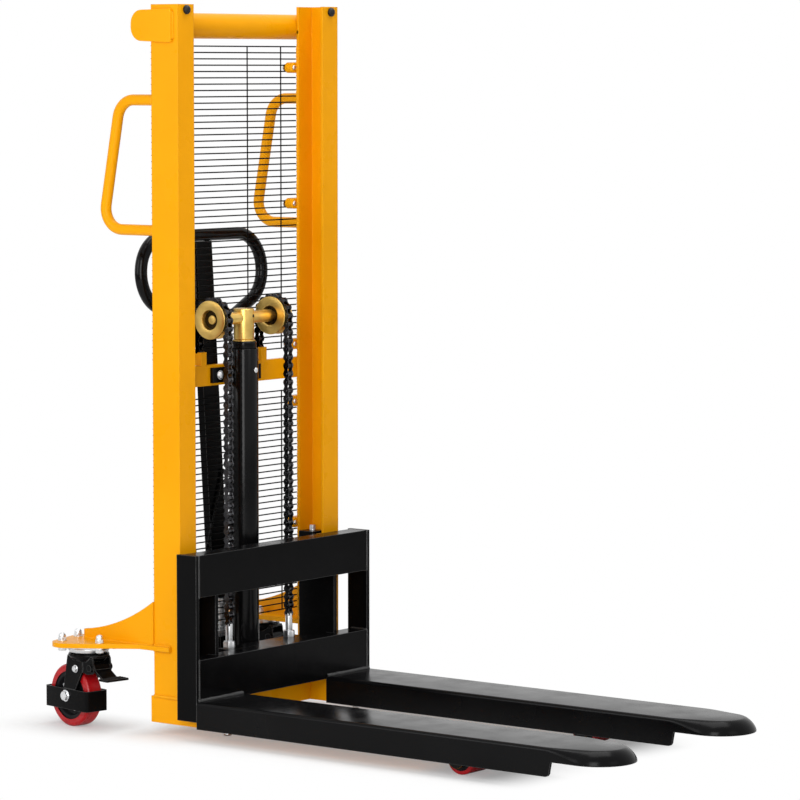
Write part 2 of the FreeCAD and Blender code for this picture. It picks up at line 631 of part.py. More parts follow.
piece("load_roller_axles", group(*[
    rod("x", ("load_y", "load_radius"), across(s, "leg_inner", "mast_width/2"), "load_axle")
    for s in SIDES.values()]))
bore = "load_axle + running_fit"
end, tread_end = "load_length/2", "(load_length/2 - load_side)"
roller = [(f"-{end}", bore), (end, bore), (end, "load_core"), (tread_end, "load_core"),
          (tread_end, "load_radius - load_side"), (f"{tread_end} - load_side", "load_radius"),
          (f"load_side - {tread_end}", "load_radius"), (f"-{tread_end}", "load_radius - load_side"),
          (f"-{tread_end}", "load_core"), (f"-{end}", "load_core")]
for side, s in SIDES.items():
    piece(f"{side}_load_roller", turned("x", roller, f"{s}*leg_centre", "load_y", "load_radius"))

# Base crossbar: a box section between the legs that carries the lift cylinder and the pump.
bar_span = ("-leg_inner", "leg_inner")
piece("base_crossbar", cut(
    block(bar_span, ("mast_front", "pump_front"), ("leg_bottom", "crossbar_top")),
    block(bar_span, ("mast_front + leg_wall", "pump_front - leg_wall"),
          ("leg_bottom + leg_wall", "crossbar_top - leg_wall"))))


def on_plate(s, out, back):
    """A spot on a caster's splayed top plate, so far outwards and backwards from the swivel axis."""
    return (f"{s}*(caster_x + ({out})*cos(caster_splay) + ({back})*sin(caster_splay))",
            f"caster_y - ({out})*sin(caster_splay) + ({back})*cos(caster_splay)")


def round_rear_corners(body, radius):
    """Fillet the upright edges of a plate that lie behind the caster axis."""
    doc.recompute()
    pad = body.Tip
    edges = [f"Edge{number}" for number, edge in enumerate(pad.Shape.Edges, start=1)
             if min(v.Y for v in edge.Vertexes) > value("caster_y")
             and edge.BoundBox.ZLength > edge.BoundBox.YLength + edge.BoundBox.XLength]
    fillet = body.newObject("PartDesign::Fillet", "Fillet")
    fillet.Base = (pad, edges)
    fillet.setExpression("Radius", named(radius))


# Outriggers: tapered plates beside the columns that carry the casters, with a concave gusset each.
BOLT_SIGNS = [(across_sign, along_sign) for across_sign in (-1, 1) for along_sign in (-1, 1)]
for side, s in SIDES.items():
    inner, flank = f"{s}*outrigger_inner", f"{s}*(mast_width/2 + outrigger_nose)"
    front_edge = "mast_front + outrigger_start"
    plan = [on_plate(s, "outrigger_corner", "outrigger_back"), (inner, "caster_y + outrigger_inner_back"),
            (inner, "column_back"), (f"{s}*mast_width/2", "column_back"), (f"{s}*mast_width/2", front_edge),
            (flank, front_edge), (flank, "column_back + outrigger_taper")]
    outrigger = padded("xy", "outrigger_bottom", "outrigger_thick", plan)
    round_rear_corners(outrigger, "outrigger_round")
    bolt_holes = [rod("z", on_plate(s, f"{i}*bolt_x", f"{j}*bolt_y"), ("outrigger_bottom", "outrigger_top"),
                      "bolt_radius + part_gap") for i, j in BOLT_SIGNS]
    piece(f"{side}_outrigger", cut(outrigger, *bolt_holes))

gussets = []
for s in SIDES.values():
    gusset_span = across(s, "(mast_width - gusset_thick)/2", "(mast_width + gusset_thick)/2")
    rise = "(gusset_height - gusset_low)"
    chord = f"sqrt(gusset_length^2 + {rise}^2)"
    lift = f"sqrt(gusset_sweep^2 - ({chord}/2)^2)/{chord}"
    scoop = rod("x", (f"column_back + gusset_length/2 + {rise}*{lift}",
                      f"outrigger_top + (gusset_low + gusset_height)/2 + gusset_length*{lift}"),
                gusset_span, "gusset_sweep")
    gussets.append(cut(block(gusset_span, ("column_back", "column_back + gusset_length"),
                             ("outrigger_top", "outrigger_top + gusset_height")), scoop))
piece("outrigger_gussets", group(*gussets))

# Caster top plates with the fixed half of the swivel race under them.
plates = []
for s in SIDES.values():
    holes = [(*on_plate(s, f"{i}*bolt_x", f"{j}*bolt_y"), "bolt_radius + part_gap") for i, j in BOLT_SIGNS]
    corners = [on_plate(s, f"{i}*caster_plate_x", f"{j}*caster_plate_y")
               for i, j in ((-1, -1), (1, -1), (1, 1), (-1, 1))]
    race = [("race_bottom", "0"), ("race_bottom", "race_radius - race_chamfer"),
            ("race_bottom + race_chamfer", "race_radius"), ("caster_plate_bottom", "race_radius"),
            ("caster_plate_bottom", "0")]
    plates.append(fuse(padded("xy", "caster_plate_bottom", "caster_plate_thick", corners, holes),
                       turned("z", race, f"{s}*caster_x", "caster_y")))
piece("caster_plates", group(*plates))

# Fixed fasteners: dome-nut bolts of the casters, clamp bolts, guard screws and their nuts, and a
# stop stud under each leg.
head_bottom = "caster_plate_bottom - bolt_head_height"
dome_bolt = [(head_bottom, "0"), (head_bottom, "bolt_head"), ("caster_plate_bottom", "bolt_head"),
             ("caster_plate_bottom", "bolt_radius"),
             ("outrigger_top", "bolt_radius"), ("outrigger_top", "bolt_head"),
             ("outrigger_top + nut_height", "bolt_head"),
             ("outrigger_top + nut_height + 0.7*dome_height", "0.6*bolt_head"),
             ("outrigger_top + nut_height + dome_height", "0")]
fasteners = [turned("z", dome_bolt, *on_plate(s, f"{i}*bolt_x", f"{j}*bolt_y"))
             for s in SIDES.values() for i, j in BOLT_SIGNS]
fasteners += [rod("z", (f"{s}*leg_centre", "mast_front - stud_reach"),
                  ("leg_bottom - stud_height", "leg_bottom"), "stud_radius") for s in SIDES.values()]


def screw_head(radius, height, turn):
    """A low domed head along Y that faces -Y where turn is -1 and +Y where it is 1."""
    return [("0", "0"), ("0", radius), (f"{turn}*0.6*{height}", radius),
            (f"{turn}*{height}", f"0.6*{radius}"), (f"{turn}*{height}", "0")]


clamp_middle = "beam_bottom + beam_height/2"
lug_middle = "(lug_inner + column_inner)/2"
for s in SIDES.values():
    fasteners.append(turned("y", screw_head("bolt_head", "bolt_head_height", -1),
                            f"{s}*clamp_bolt_x", "clamp_face", clamp_middle))
    for lug in lugs:
        fasteners += [turned("y", screw_head("screw_radius", "screw_height", -1),
                             f"{s}*{lug_middle}", "column_back", lug),
                      turned("y", screw_head("screw_radius", "screw_height", 1),
                             f"{s}*{lug_middle}", "mesh_front + mesh_wire", lug)]
piece("frame_fasteners", group(*fasteners))

# Lift cylinder on the base crossbar, its cap, and the clamp ears that tie it to the middle beam.
cylinder_bore = rod("z", ram_axis, ("crossbar_top + cylinder_wall", "cylinder_top"),
                    "cylinder_radius - cylinder_wall")
piece("cylinder_tube", cut(rod("z", ram_axis, ("crossbar_top", "cylinder_top"), "cylinder_radius"),
                           cylinder_bore))
gland = [("cylinder_top", "rod_radius + running_fit"), ("cylinder_top", "gland_radius"),
         ("gland_top - 0.2*gland_height", "gland_radius"), ("gland_top", "gland_radius - 0.2*gland_height"),
         ("gland_top", "rod_radius + running_fit")]
piece("cylinder_gland", turned("z", gland, 0, "ram_y"))
clamp_rise = (f"{clamp_middle} - clamp_height/2", f"{clamp_middle} + clamp_height/2")
piece("cylinder_clamp", group(*[
    cut(block(across(s, "0", "clamp_half_width"), ("clamp_face", "column_back"), clamp_rise),
        rod("z", ram_axis, clamp_rise, "cylinder_radius + running_fit")) for s in SIDES.values()]))

# Ram: piston and rod, the crosshead on top, its shaft, and the two chain pulleys that turn on it.
piece("ram_rod", fuse(
    rod("z", ram_axis, ("rod_bottom", "yoke_bottom"), "rod_radius"),
    rod("z", ram_axis, ("rod_bottom", "rod_bottom + piston_height"),
        "cylinder_radius - cylinder_wall - part_gap")))
shaft_axis = ("ram_y", "pulley_height")
shaft_half = "(pulley_x + pulley_width/2 + shaft_end)"
shaft_span = (f"-{shaft_half}", shaft_half)
piece("crosshead", cut(rod("z", ram_axis, ("yoke_bottom", "yoke_top"), "yoke_radius"),
                       rod("x", shaft_axis, shaft_span, "shaft_radius + running_fit")))
collars = [rod("x", shaft_axis, across(s, "yoke_radius + ear_gap", "pulley_x - pulley_width/2 - part_gap"),
               "shaft_collar") for s in SIDES.values()]
piece("crosshead_shaft", fuse(rod("x", shaft_axis, shaft_span, "shaft_radius"), *collars))
face, floor = "pulley_width/2", "(pulley_width/2 - pulley_recess_depth)"
cheek, bore = "(pulley_width/2 - pulley_flange)", "shaft_radius + running_fit"
pulley = [(f"-{floor}", bore), (floor, bore), (floor, "pulley_recess"), (face, "pulley_recess"),
          (face, "pulley_radius"), (cheek, "pulley_radius"), (cheek, "pulley_groove"),
          (f"-{cheek}", "pulley_groove"), (f"-{cheek}", "pulley_radius"), (f"-{face}", "pulley_radius"),
          (f"-{face}", "pulley_recess"), (f"-{floor}", "pulley_recess")]
for side, s in SIDES.items():
    piece(f"{side}_pulley", turned("x", pulley, f"{s}*pulley_x", *shaft_axis))

# Lift chains: a front strand up from the carriage, half a turn over the pulley, a rear strand to the beam.
chain_spans = [(f"{s}*pulley_x - chain_width/2", f"{s}*pulley_x + chain_width/2") for s in SIDES.values()]
chain_outer, chain_inner = "(chain_radius + chain_half)", "(chain_radius - chain_half)"
piece("chain_arcs", group(*[
    cut(rod("x", shaft_axis, span, chain_outer), rod("x", shaft_axis, span, chain_inner),
        block(span, (f"ram_y - {chain_outer}", f"ram_y + {chain_outer}"),
              (f"pulley_height - {chain_outer}", "pulley_height")))
    for span in chain_spans]))
piece("front_chain_strands", group(*[
    block(span, ("chain_front - chain_half", "chain_front + chain_half"), ("anchor_top", "pulley_height"))
    for span in chain_spans]))
piece("rear_chain_strands", group(*[
    block(span, ("chain_rear - chain_half", "chain_rear + chain_half"), ("chain_lug_top", "pulley_height"))
    for span in chain_spans]))


def hollow_beam(bottom, top):
    """A box-section beam between the carriage side plates."""
    span = ("-carriage_inner", "carriage_inner")
    return cut(block(span, ("carriage_front", "carriage_back"), (bottom, top)),
               block(span, ("carriage_front + beam_wall", "carriage_back - beam_wall"),
                     (f"{bottom} + beam_wall", f"{top} - beam_wall")))


# Fork carriage: two box beams between side plates, with roller plates that run inside the mast.
piece("upper_carriage_beam", hollow_beam("upper_beam_bottom", "carriage_top"))
piece("lower_carriage_beam", hollow_beam("fork_top - fork_wall", "lower_beam_top"))
piece("carriage_side_plates", group(*[
    block(across(s, "carriage_inner", "fork_span/2"), ("carriage_front", "carriage_front + side_depth"),
          ("side_bottom", "carriage_top")) for s in SIDES.values()]))
plate_back, plate_nose = "guide_y + roller_plate_margin", "carriage_back - roller_plate_nose"
plate_side = [("carriage_back", "roller_plate_bottom"), (plate_back, "roller_plate_bottom"),
              (plate_back, "roller_plate_top"), ("carriage_back", "roller_plate_top"),
              ("carriage_back", "upper_beam_bottom"), (plate_nose, "upper_beam_bottom"),
              (plate_nose, "lower_beam_top"), ("carriage_back", "lower_beam_top")]
GUIDES = {"lower": "guide_low", "upper": "guide_high"}
roller_plates = []
for s in SIDES.values():
    plate_span = across(s, "roller_plate_x", "roller_plate_x + roller_plate")
    pin_span = across(s, "roller_plate_x + roller_plate", "guide_inner + guide_width")
    tab = block(across(s, "roller_plate_x", "roller_plate_x + roller_plate + tab_width"),
                (f"{plate_back} - tab_length", plate_back),
                ("roller_plate_top", "roller_plate_top + tab_thick"))
    pins = [rod("x", ("guide_y", height), pin_span, "guide_pin") for height in GUIDES.values()]
    roller_plates.append(fuse(padded("yz", plate_span[0], "roller_plate", plate_side), tab, *pins))
piece("roller_plates", group(*roller_plates))
bore = "guide_pin + running_fit"
guide = [("-guide_width/2", bore), ("guide_width/2", bore), ("guide_width/2", "guide_radius"),
         ("-guide_width/2", "guide_radius")]
for side, s in SIDES.items():
    for level, height in GUIDES.items():
        piece(f"{side}_{level}_guide_roller",
              turned("x", guide, f"{s}*(guide_inner + guide_width/2)", "guide_y", height))

# Chain anchor plate behind the lower beam, the threaded anchors, and a bolt on each roller plate.
anchor_back = "chain_front + anchor_margin"
anchor_plan = [("-anchor_plate_half", "carriage_back"), ("anchor_plate_half", "carriage_back"),
               ("anchor_plate_half", anchor_back), ("-anchor_plate_half", anchor_back)]
anchor_holes = [(f"{s}*pulley_x", "chain_front", "anchor_radius + running_fit") for s in SIDES.values()]
plate_rise = ("lower_beam_top - anchor_plate_thick", "lower_beam_top")
piece("chain_anchor_plate", cut(
    padded("xy", plate_rise[0], "anchor_plate_thick", anchor_plan, anchor_holes),
    rod("z", ram_axis, plate_rise, "cylinder_radius + cylinder_room")))
anchor_foot = f"{plate_rise[0]} - anchor_below"
nut_top = "lower_beam_top + anchor_nut_height"
anchor = [(anchor_foot, "0"), (anchor_foot, "anchor_radius"), ("lower_beam_top", "anchor_radius"),
          ("lower_beam_top", "anchor_nut"), (nut_top, "anchor_nut"), (nut_top, "anchor_head"),
          ("anchor_top", "anchor_head"), ("anchor_top", "0")]
tab_top = "roller_plate_top + tab_thick"
washer_top, head_top = f"{tab_top} + washer_height", f"{tab_top} + stop_bolt_height"
stop_bolt = [(tab_top, "0"), (tab_top, "washer_radius"), (washer_top, "washer_radius"),
             (washer_top, "stop_bolt_radius"), (head_top, "stop_bolt_radius"), (head_top, "0")]
piece("carriage_fasteners", group(*[
    bolt for s in SIDES.values() for bolt in (
        turned("z", anchor, f"{s}*pulley_x", "chain_front"),
        turned("z", stop_bolt, f"{s}*(roller_plate_x + roller_plate + 0.6*tab_width)", "guide_y"))]))


def tip_shell(s, inset):
    """The round end of a fork: a cone for the nose and a wedge back to the walls, both sloping out."""
    nose = doc.addObject("Part::Cone", "Nose")
    nose.setExpression("Radius1", named(f"fork_width/2 - {inset}"))
    nose.setExpression("Radius2", named(f"fork_width/2 - tip_slope - {inset}"))
    nose.setExpression("Height", named(f"fork_top - tip_bottom - {inset}"))
    place(nose, f"{s}*fork_centre", "tip_y", "tip_bottom")
    neck = doc.addObject("Part::Wedge", "Neck")
    low, high = f"fork_width/2 - {inset}", f"fork_width/2 - tip_slope - {inset}"
    formulas = {"Xmin": f"-({low})", "Xmax": low, "X2min": f"-({high})", "X2max": high,
                "Ymin": "0", "Ymax": f"fork_top - tip_bottom - {inset}",
                "Zmin": "0", "Z2min": "0", "Zmax": "wall_end - tip_y", "Z2max": "wall_end - tip_y"}
    for name, formula in formulas.items():
        neck.setExpression(name, named(formula))
    place(neck, f"{s}*fork_centre", "wall_end", "tip_bottom", turn=Rotation(Vector(1, 0, 0), 90))
    return fuse(nose, neck)


# Forks: inverted channels of bent plate with a rounded, sloping tip, welded to the lower beam's face.
for side, s in SIDES.items():
    deck_rise = ("fork_top - fork_wall", "fork_top")
    run = ("wall_end", "carriage_front")
    wall_rise = ("fork_bottom", "fork_top - fork_wall")
    deck = block(across(s, "fork_inner", "fork_span/2"), run, deck_rise)
    inner_wall = block(across(s, "fork_inner", "fork_inner + fork_wall"), run, wall_rise)
    outer_wall = block(across(s, "fork_span/2 - fork_wall", "fork_span/2"), run, wall_rise)
    tip = cut(tip_shell(s, "0"), tip_shell(s, "fork_wall"))
    piece(f"{side}_fork", fuse(deck, inner_wall, outer_wall, tip))


def on_caster(thing, s, y=0, z=0):
    """Stand a piece that is built about its swivel axis on its caster, turned as the caster is."""
    swing = value("caster_swing") * s
    return place(thing, f"{s}*caster_x - {s}*({y})*sin(caster_swing)",
                 f"caster_y + ({y})*cos(caster_swing)", z, turn=Rotation(Vector(0, 0, 1), swing))


# Swivel casters: fork with its axle, toe guard and pedal pin, a hub with its tread, a brake pedal.
axle_spot = ("caster_trail", "tyre_radius")
pedal_spot = ("-pedal_pivot", "pedal_pivot_z")
horn = "pedal_pivot + 2*pedal_pin"
leg_profile = [(f"-({horn})", "crown_bottom"), ("race_radius - race_chamfer", "crown_bottom"),
               ("caster_trail + 2*caster_axle", "tyre_radius"),
               ("caster_trail + axle_head", "tyre_radius - 2*caster_axle"),
               ("caster_trail - axle_head", "tyre_radius - 2*caster_axle"),
               ("caster_trail - 2*caster_axle", "tyre_radius"),
               (f"-({horn})", "pedal_pivot_z - 2*pedal_pin")]
leg_holes = [(*axle_spot, "caster_axle + running_fit"), (*pedal_spot, "pedal_pin + running_fit")]
guard_rise = ("guard_bottom", "guard_bottom + guard_height")
head_end = "(guard_half_width + axle_head_width)"
axle = [(f"-{head_end}", "0"), (f"-{head_end}", "axle_head"), ("-guard_half_width", "axle_head"),
        ("-guard_half_width", "caster_axle"), ("guard_half_width", "caster_axle"),
        ("guard_half_width", "axle_head"), (head_end, "axle_head"), (head_end, "0")]
boss, rim = "(tyre_width/2 + caster_leg_gap/2)", "(tyre_width/2 - tyre_round/2)"
bore, lip = "caster_axle + running_fit", "hub_radius - hub_rim"
hub = [(f"-{boss}", bore), (boss, bore), (boss, "hub_boss"), ("hub_web", "hub_boss"), ("hub_web", lip),
       (rim, lip), (rim, "hub_radius"), (f"-{rim}", "hub_radius"), (f"-{rim}", lip),
       ("-hub_web", lip), ("-hub_web", "hub_boss"), (f"-{boss}", "hub_boss")]
seat, edge = "hub_radius + running_fit", "tyre_radius - tyre_round"
tread = [("-tyre_width/2", seat), ("tyre_width/2", seat), ("tyre_width/2", edge),
         ("tyre_width/2 - tyre_round", "tyre_radius"), ("tyre_round - tyre_width/2", "tyre_radius"),
         ("-tyre_width/2", edge)]
neck_end = "pedal_lip - pedal_reach"
pedal_side = [("-pedal_pivot", "pedal_pivot_z + pedal_thick/2"), (neck_end, "pedal_tip_z"),
              (neck_end, "pedal_tip_z - pedal_thick"), ("-pedal_pivot", "pedal_pivot_z - pedal_thick/2")]
for side, s in SIDES.items():
    fork_legs = [padded("yz", low, "caster_leg", leg_profile, leg_holes)
                 for low in ("-caster_leg_outer", "caster_leg_inner")]
    crown = rod("z", ("0", "0"), ("crown_bottom", "crown_top"), "race_radius - race_chamfer")
    fork = fuse(crown, *fork_legs)
    fence = cut(block(("-guard_half_width", "guard_half_width"),
                      ("caster_trail - guard_half_length", "caster_trail + guard_half_length"), guard_rise),
                block(("-caster_leg_outer", "caster_leg_outer"),
                      ("caster_trail - guard_half_length + guard_wall",
                       "caster_trail + guard_half_length - guard_wall"), guard_rise),
                rod("x", axle_spot, ("-guard_half_width", "guard_half_width"), "caster_axle + running_fit"))
    axle_bolt = turned("x", axle, 0, *axle_spot)
    pedal_pin = rod("x", pedal_spot, ("-caster_leg_outer", "caster_leg_outer"), "pedal_pin")
    piece(f"{side}_caster_fork", on_caster(group(fork, fence, axle_bolt, pedal_pin), s))
    piece(f"{side}_caster_hub", on_caster(turned("x", hub), s, *axle_spot))
    piece(f"{side}_caster_tyre", on_caster(turned("x", tread), s, *axle_spot))
    neck_span = ("ear_gap - caster_leg_inner", "caster_leg_inner - ear_gap")
    tread_step = block(("-pedal_half", "pedal_half"), ("-pedal_reach", neck_end),
                       ("pedal_tip_z - pedal_thick", "pedal_tip_z"))
    pedal = cut(fuse(padded("yz", neck_span[0], "2*(caster_leg_inner - ear_gap)", pedal_side), tread_step,
                     rod("x", pedal_spot, neck_span, "pedal_hub")),
                rod("x", pedal_spot, neck_span, "pedal_pin + running_fit"))
    piece(f"{side}_brake_pedal", on_caster(pedal, s))

# Hand pump: a block behind the crossbar, its plunger, and the bracket that carries the tiller.
plunger_axis = ("0", "plunger_y")
plunger_foot = "pump_top - plunger_depth"
piece("pump_block", cut(
    block(("-pump_half", "pump_half"), ("pump_front", "pump_front + pump_length"),
          ("pump_bottom", "pump_top")),
    rod("z", plunger_axis, (f"{plunger_foot} - plunger_radius", "pump_top"),
        "plunger_radius + running_fit")))
piece("pump_plunger", fuse(
    rod("z", plunger_axis, (plunger_foot, "plunger_top"), "plunger_radius"),
    rod("z", plunger_axis, ("spring_top", "plunger_top"), "plunger_collar")))
pin_axis = ("pivot_y", "tiller_pivot")
bracket = [cut(block(across(s, "tiller_half + ear_gap", "tiller_half + ear_gap + bracket_thick"),
                     ("pivot_y - bracket_half", "pivot_y + bracket_half"),
                     ("pump_top", "tiller_pivot + bracket_top")),
               rod("x", pin_axis, across(s, "tiller_half", "tiller_half + 2*bracket_thick"),
                   "tiller_pin + running_fit")) for s in SIDES.values()]
pin_end = "(tiller_half + 2*bracket_thick)"
piece("tiller_bracket", group(*bracket, rod("x", pin_axis, (f"-{pin_end}", pin_end), "tiller_pin")))


def biarc(start, heading, end, arrival):
    """Two tangent arcs between two points with given directions, with equal tangent lengths."""
    chord, bend = end - start, heading + arrival
    turn = 2 * (1 - heading.dot(arrival))
    along = chord.dot(bend)
    reach = (-along + math.sqrt(along ** 2 + turn * chord.dot(chord))) / turn
    joint = (start + heading * reach + end - arrival * reach) * 0.5
    arcs = []
    for first, corner, last in ((start, start + heading * reach, joint), (joint, end - arrival * reach, end)):
        middle = (first + last) * 0.5
        half = (corner - first).getAngle(last - first)
        rise = (last - first).Length / 2 * math.tan(half / 2)
        arcs.append(Part.Arc(first, middle + (corner - middle).normalize() * rise, last).toShape())
    return arcs


def coil_spring(label, x, y, bottom, top, radius, wire, turns):
    """A compression spring: one tube on a helix of biarcs, a quarter turn each, touching both seats."""
    low, high = bottom + wire + value("running_fit"), top - wire - value("running_fit")
    climb = (high - low) / (turns * math.tau)

    def spot(angle):
        return Vector(radius * math.cos(angle), radius * math.sin(angle), low + climb * angle)

    def heading(angle):
        return Vector(-radius * math.sin(angle), radius * math.cos(angle), climb).normalize()

    quarters = [step * math.pi / 2 for step in range(round(turns * 4) + 1)]
    edges = []
    for a, b in zip(quarters, quarters[1:]):
        edges += biarc(spot(a), heading(a), spot(b), heading(b))
    section = Part.Wire([Part.Circle(spot(0), heading(0), wire).toShape()])
    spring = doc.addObject("Part::Feature", "Spring")
    spring.Shape = Part.Wire(edges).makePipeShell([section], True, False)
    spring.Placement = Placement(Vector(x, y, 0), Rotation())
    gap = min((spot(a) - spot(b)).Length for a in quarters for b in quarters if b - a > math.pi) - 2 * wire
    print(f"{label}: least gap between turns {gap:.2f} mm")
    return piece(label, spring)


coil_spring("pump_spring", 0, value("plunger_y"), value("pump_top"), value("spring_top"),
            value("spring_radius"), value("spring_wire"), value("spring_turns"))


def on_tiller(thing, x=0, y=0, z=0):
    """Set a piece that is built about the tiller's pivot on the leaning tiller."""
    lean = Rotation(Vector(1, 0, 0), -value("tiller_lean"))
    return place(thing, x, f"pivot_y + ({y})*cos(tiller_lean) + ({z})*sin(tiller_lean)",
                 f"tiller_pivot - ({y})*sin(tiller_lean) + ({z})*cos(tiller_lean)", turn=lean)


# Tiller: a channel stem on a heel that presses the plunger, with a bent-tube loop to pull on.
stem_front, stem_back = "-stem_set - stem_depth/2", "-stem_set + stem_depth/2"
stem_plan = [("-tiller_half", stem_back), ("-tiller_half", stem_front), ("tiller_half", stem_front),
             ("tiller_half", stem_back), ("tiller_half - stem_wall", stem_back),
             ("tiller_half - stem_wall", f"{stem_front} + stem_wall"),
             ("stem_wall - tiller_half", f"{stem_front} + stem_wall"), ("stem_wall - tiller_half", stem_back)]
stem = padded("xy", "heel_top", "loop_top - loop_radius - heel_top", stem_plan)
heel = block(("-tiller_half", "tiller_half"), ("-heel_front", "heel_back"), ("-heel_bottom", "heel_top"))
pivot_bore = rod("x", ("0", "0"), ("-tiller_half", "tiller_half"), "tiller_pin + running_fit")
lever_spot = ("-stem_set", "lever_pivot")
lever_inner = "(tiller_half + lever_gap)"
lever_pin = rod("x", lever_spot, (f"-{lever_inner} - 1.5*lever_thick", "-tiller_half"), "lever_pin")
piece("tiller_stem", on_tiller(group(cut(fuse(stem, heel), pivot_bore), lever_pin)))
half, inset = value("loop_half"), value("tiller_half")
shoulder = value("loop_shoulder") - value("loop_bottom")
rise = value("loop_top") - value("loop_bottom")
knee = inset + value("loop_bend")
loop_path = [(0, 0), (inset - knee, 0), (inset - half, shoulder), (inset - half, rise),
             (inset + half, rise), (inset + half, shoulder), (inset + knee, 0), (2 * inset, 0)]
loop = bent_tube("xz", loop_path, value("loop_bend"), "loop_radius", "loop_wall", "yz")
piece("tiller_loop", on_tiller(loop, "-tiller_half", "-stem_set", "loop_bottom"))
lever_side = [("-stem_set - lever_half", "lever_bottom"), ("-stem_set + lever_half", "lever_bottom"),
              ("-stem_set + lever_half", "lever_top"), ("-stem_set - lever_half", "lever_top")]
piece("release_lever", on_tiller(padded("yz", f"-{lever_inner} - lever_thick", "lever_thick", lever_side,
                                        [(*lever_spot, "lever_pin + running_fit")])))

# Build everything, refuse a failed feature or a bad solid, then write one file per sub-part.
doc.recompute()
for thing in doc.Objects:
    if {"Invalid", "Error"} & set(thing.State):
        raise RuntimeError(f"{thing.Label} failed: {thing.State}")
for thing in pieces:
    if thing.Shape.isNull() or not thing.Shape.isValid() or not thing.Shape.Solids:
        raise RuntimeError(f"{thing.Label} has no valid solid")
os.makedirs("parts", exist_ok=True)
for thing in pieces:
    thing.Shape.exportStep(f"parts/{thing.Label}.step")
print(f"{len(pieces)} sub-parts, {sum(len(thing.Shape.Solids) for thing in pieces)} solids")
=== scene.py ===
import json
import math

import bmesh
import bpy
import numpy as np
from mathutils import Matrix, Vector


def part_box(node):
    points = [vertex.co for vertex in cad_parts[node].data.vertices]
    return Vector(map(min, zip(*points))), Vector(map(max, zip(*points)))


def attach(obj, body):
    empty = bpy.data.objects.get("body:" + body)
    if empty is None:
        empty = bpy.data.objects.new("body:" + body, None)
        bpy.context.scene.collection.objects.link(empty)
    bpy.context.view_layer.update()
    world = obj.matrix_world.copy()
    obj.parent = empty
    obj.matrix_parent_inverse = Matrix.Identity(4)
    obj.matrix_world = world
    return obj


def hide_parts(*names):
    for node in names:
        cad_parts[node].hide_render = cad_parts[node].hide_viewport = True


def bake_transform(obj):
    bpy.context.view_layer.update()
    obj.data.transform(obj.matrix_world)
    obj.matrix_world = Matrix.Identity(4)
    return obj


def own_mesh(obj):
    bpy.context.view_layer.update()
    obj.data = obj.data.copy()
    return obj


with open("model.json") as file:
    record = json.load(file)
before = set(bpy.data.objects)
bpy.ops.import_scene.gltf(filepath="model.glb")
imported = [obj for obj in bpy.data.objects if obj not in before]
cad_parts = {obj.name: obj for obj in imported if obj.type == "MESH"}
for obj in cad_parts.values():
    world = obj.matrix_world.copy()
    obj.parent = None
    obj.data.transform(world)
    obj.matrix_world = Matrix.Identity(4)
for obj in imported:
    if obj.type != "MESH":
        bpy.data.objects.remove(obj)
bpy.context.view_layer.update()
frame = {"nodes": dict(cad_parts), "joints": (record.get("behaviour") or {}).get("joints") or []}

# Straddle legs and base crossbar: box sections folded from steel plate and welded, then
# powder-coated amber. The columns stand on the tall feet at the rear of the legs.


def node_tools(tree):
    """Two functions for a node tree: one adds a node, the other links or sets a node's inputs."""
    def fill(node, inputs):
        for socket, value in inputs.items():
            if isinstance(value, bpy.types.NodeSocket):
                tree.links.new(value, node.inputs[socket])
            else:
                node.inputs[socket].default_value = value

    def add(kind, inputs, **settings):
        node = tree.nodes.new("ShaderNode" + kind)
        for setting, value in settings.items():
            setattr(node, setting, value)
        fill(node, inputs)
        return node

    return add, fill


def new_finish(name, **sockets):
    """A material, its shader with constant sockets set, and the two functions for its nodes."""
    material = bpy.data.materials.new(name)
    material.use_nodes = True
    shader = material.node_tree.nodes["Principled BSDF"]
    add, fill = node_tools(material.node_tree)
    fill(shader, {socket.replace("_", " "): value for socket, value in sockets.items()})
    return material, shader, add, fill


def ramp(add, factor, *stops):
    """A colour ramp's output, from stops of a place and a colour each."""
    node = add("ValToRGB", {"Fac": factor})
    elements = node.color_ramp.elements
    while len(elements) < len(stops):
        elements.new(0.5)
    for element, (place, colour) in zip(elements, stops):
        element.position = place
        element.color = (*colour, 1.0)
    return node.outputs["Color"]


def spread(add, factor, low, high):
    """A texture's middle half stretched to a range of numbers."""
    return add("MapRange", {"Value": factor, "From Min": 0.3, "From Max": 0.7,
                            "To Min": low, "To Max": high}).outputs["Result"]


def noise(add, spot, scale, detail, **inputs):
    """The grey value of a cloudy texture."""
    return add("TexNoise", {"Vector": spot, "Scale": scale, "Detail": detail, **inputs}).outputs["Fac"]


def worked_out(add, operation, *values):
    """The outcome of a sum on one or two numbers."""
    return add("Math", dict(enumerate(values)), operation=operation).outputs["Value"]


def mixed_colour(add, factor, one, other):
    """One colour that gives way to another as the factor goes from 0 to 1."""
    return add("Mix", {"Factor": factor, 6: one, 7: other}, data_type="RGBA").outputs[2]


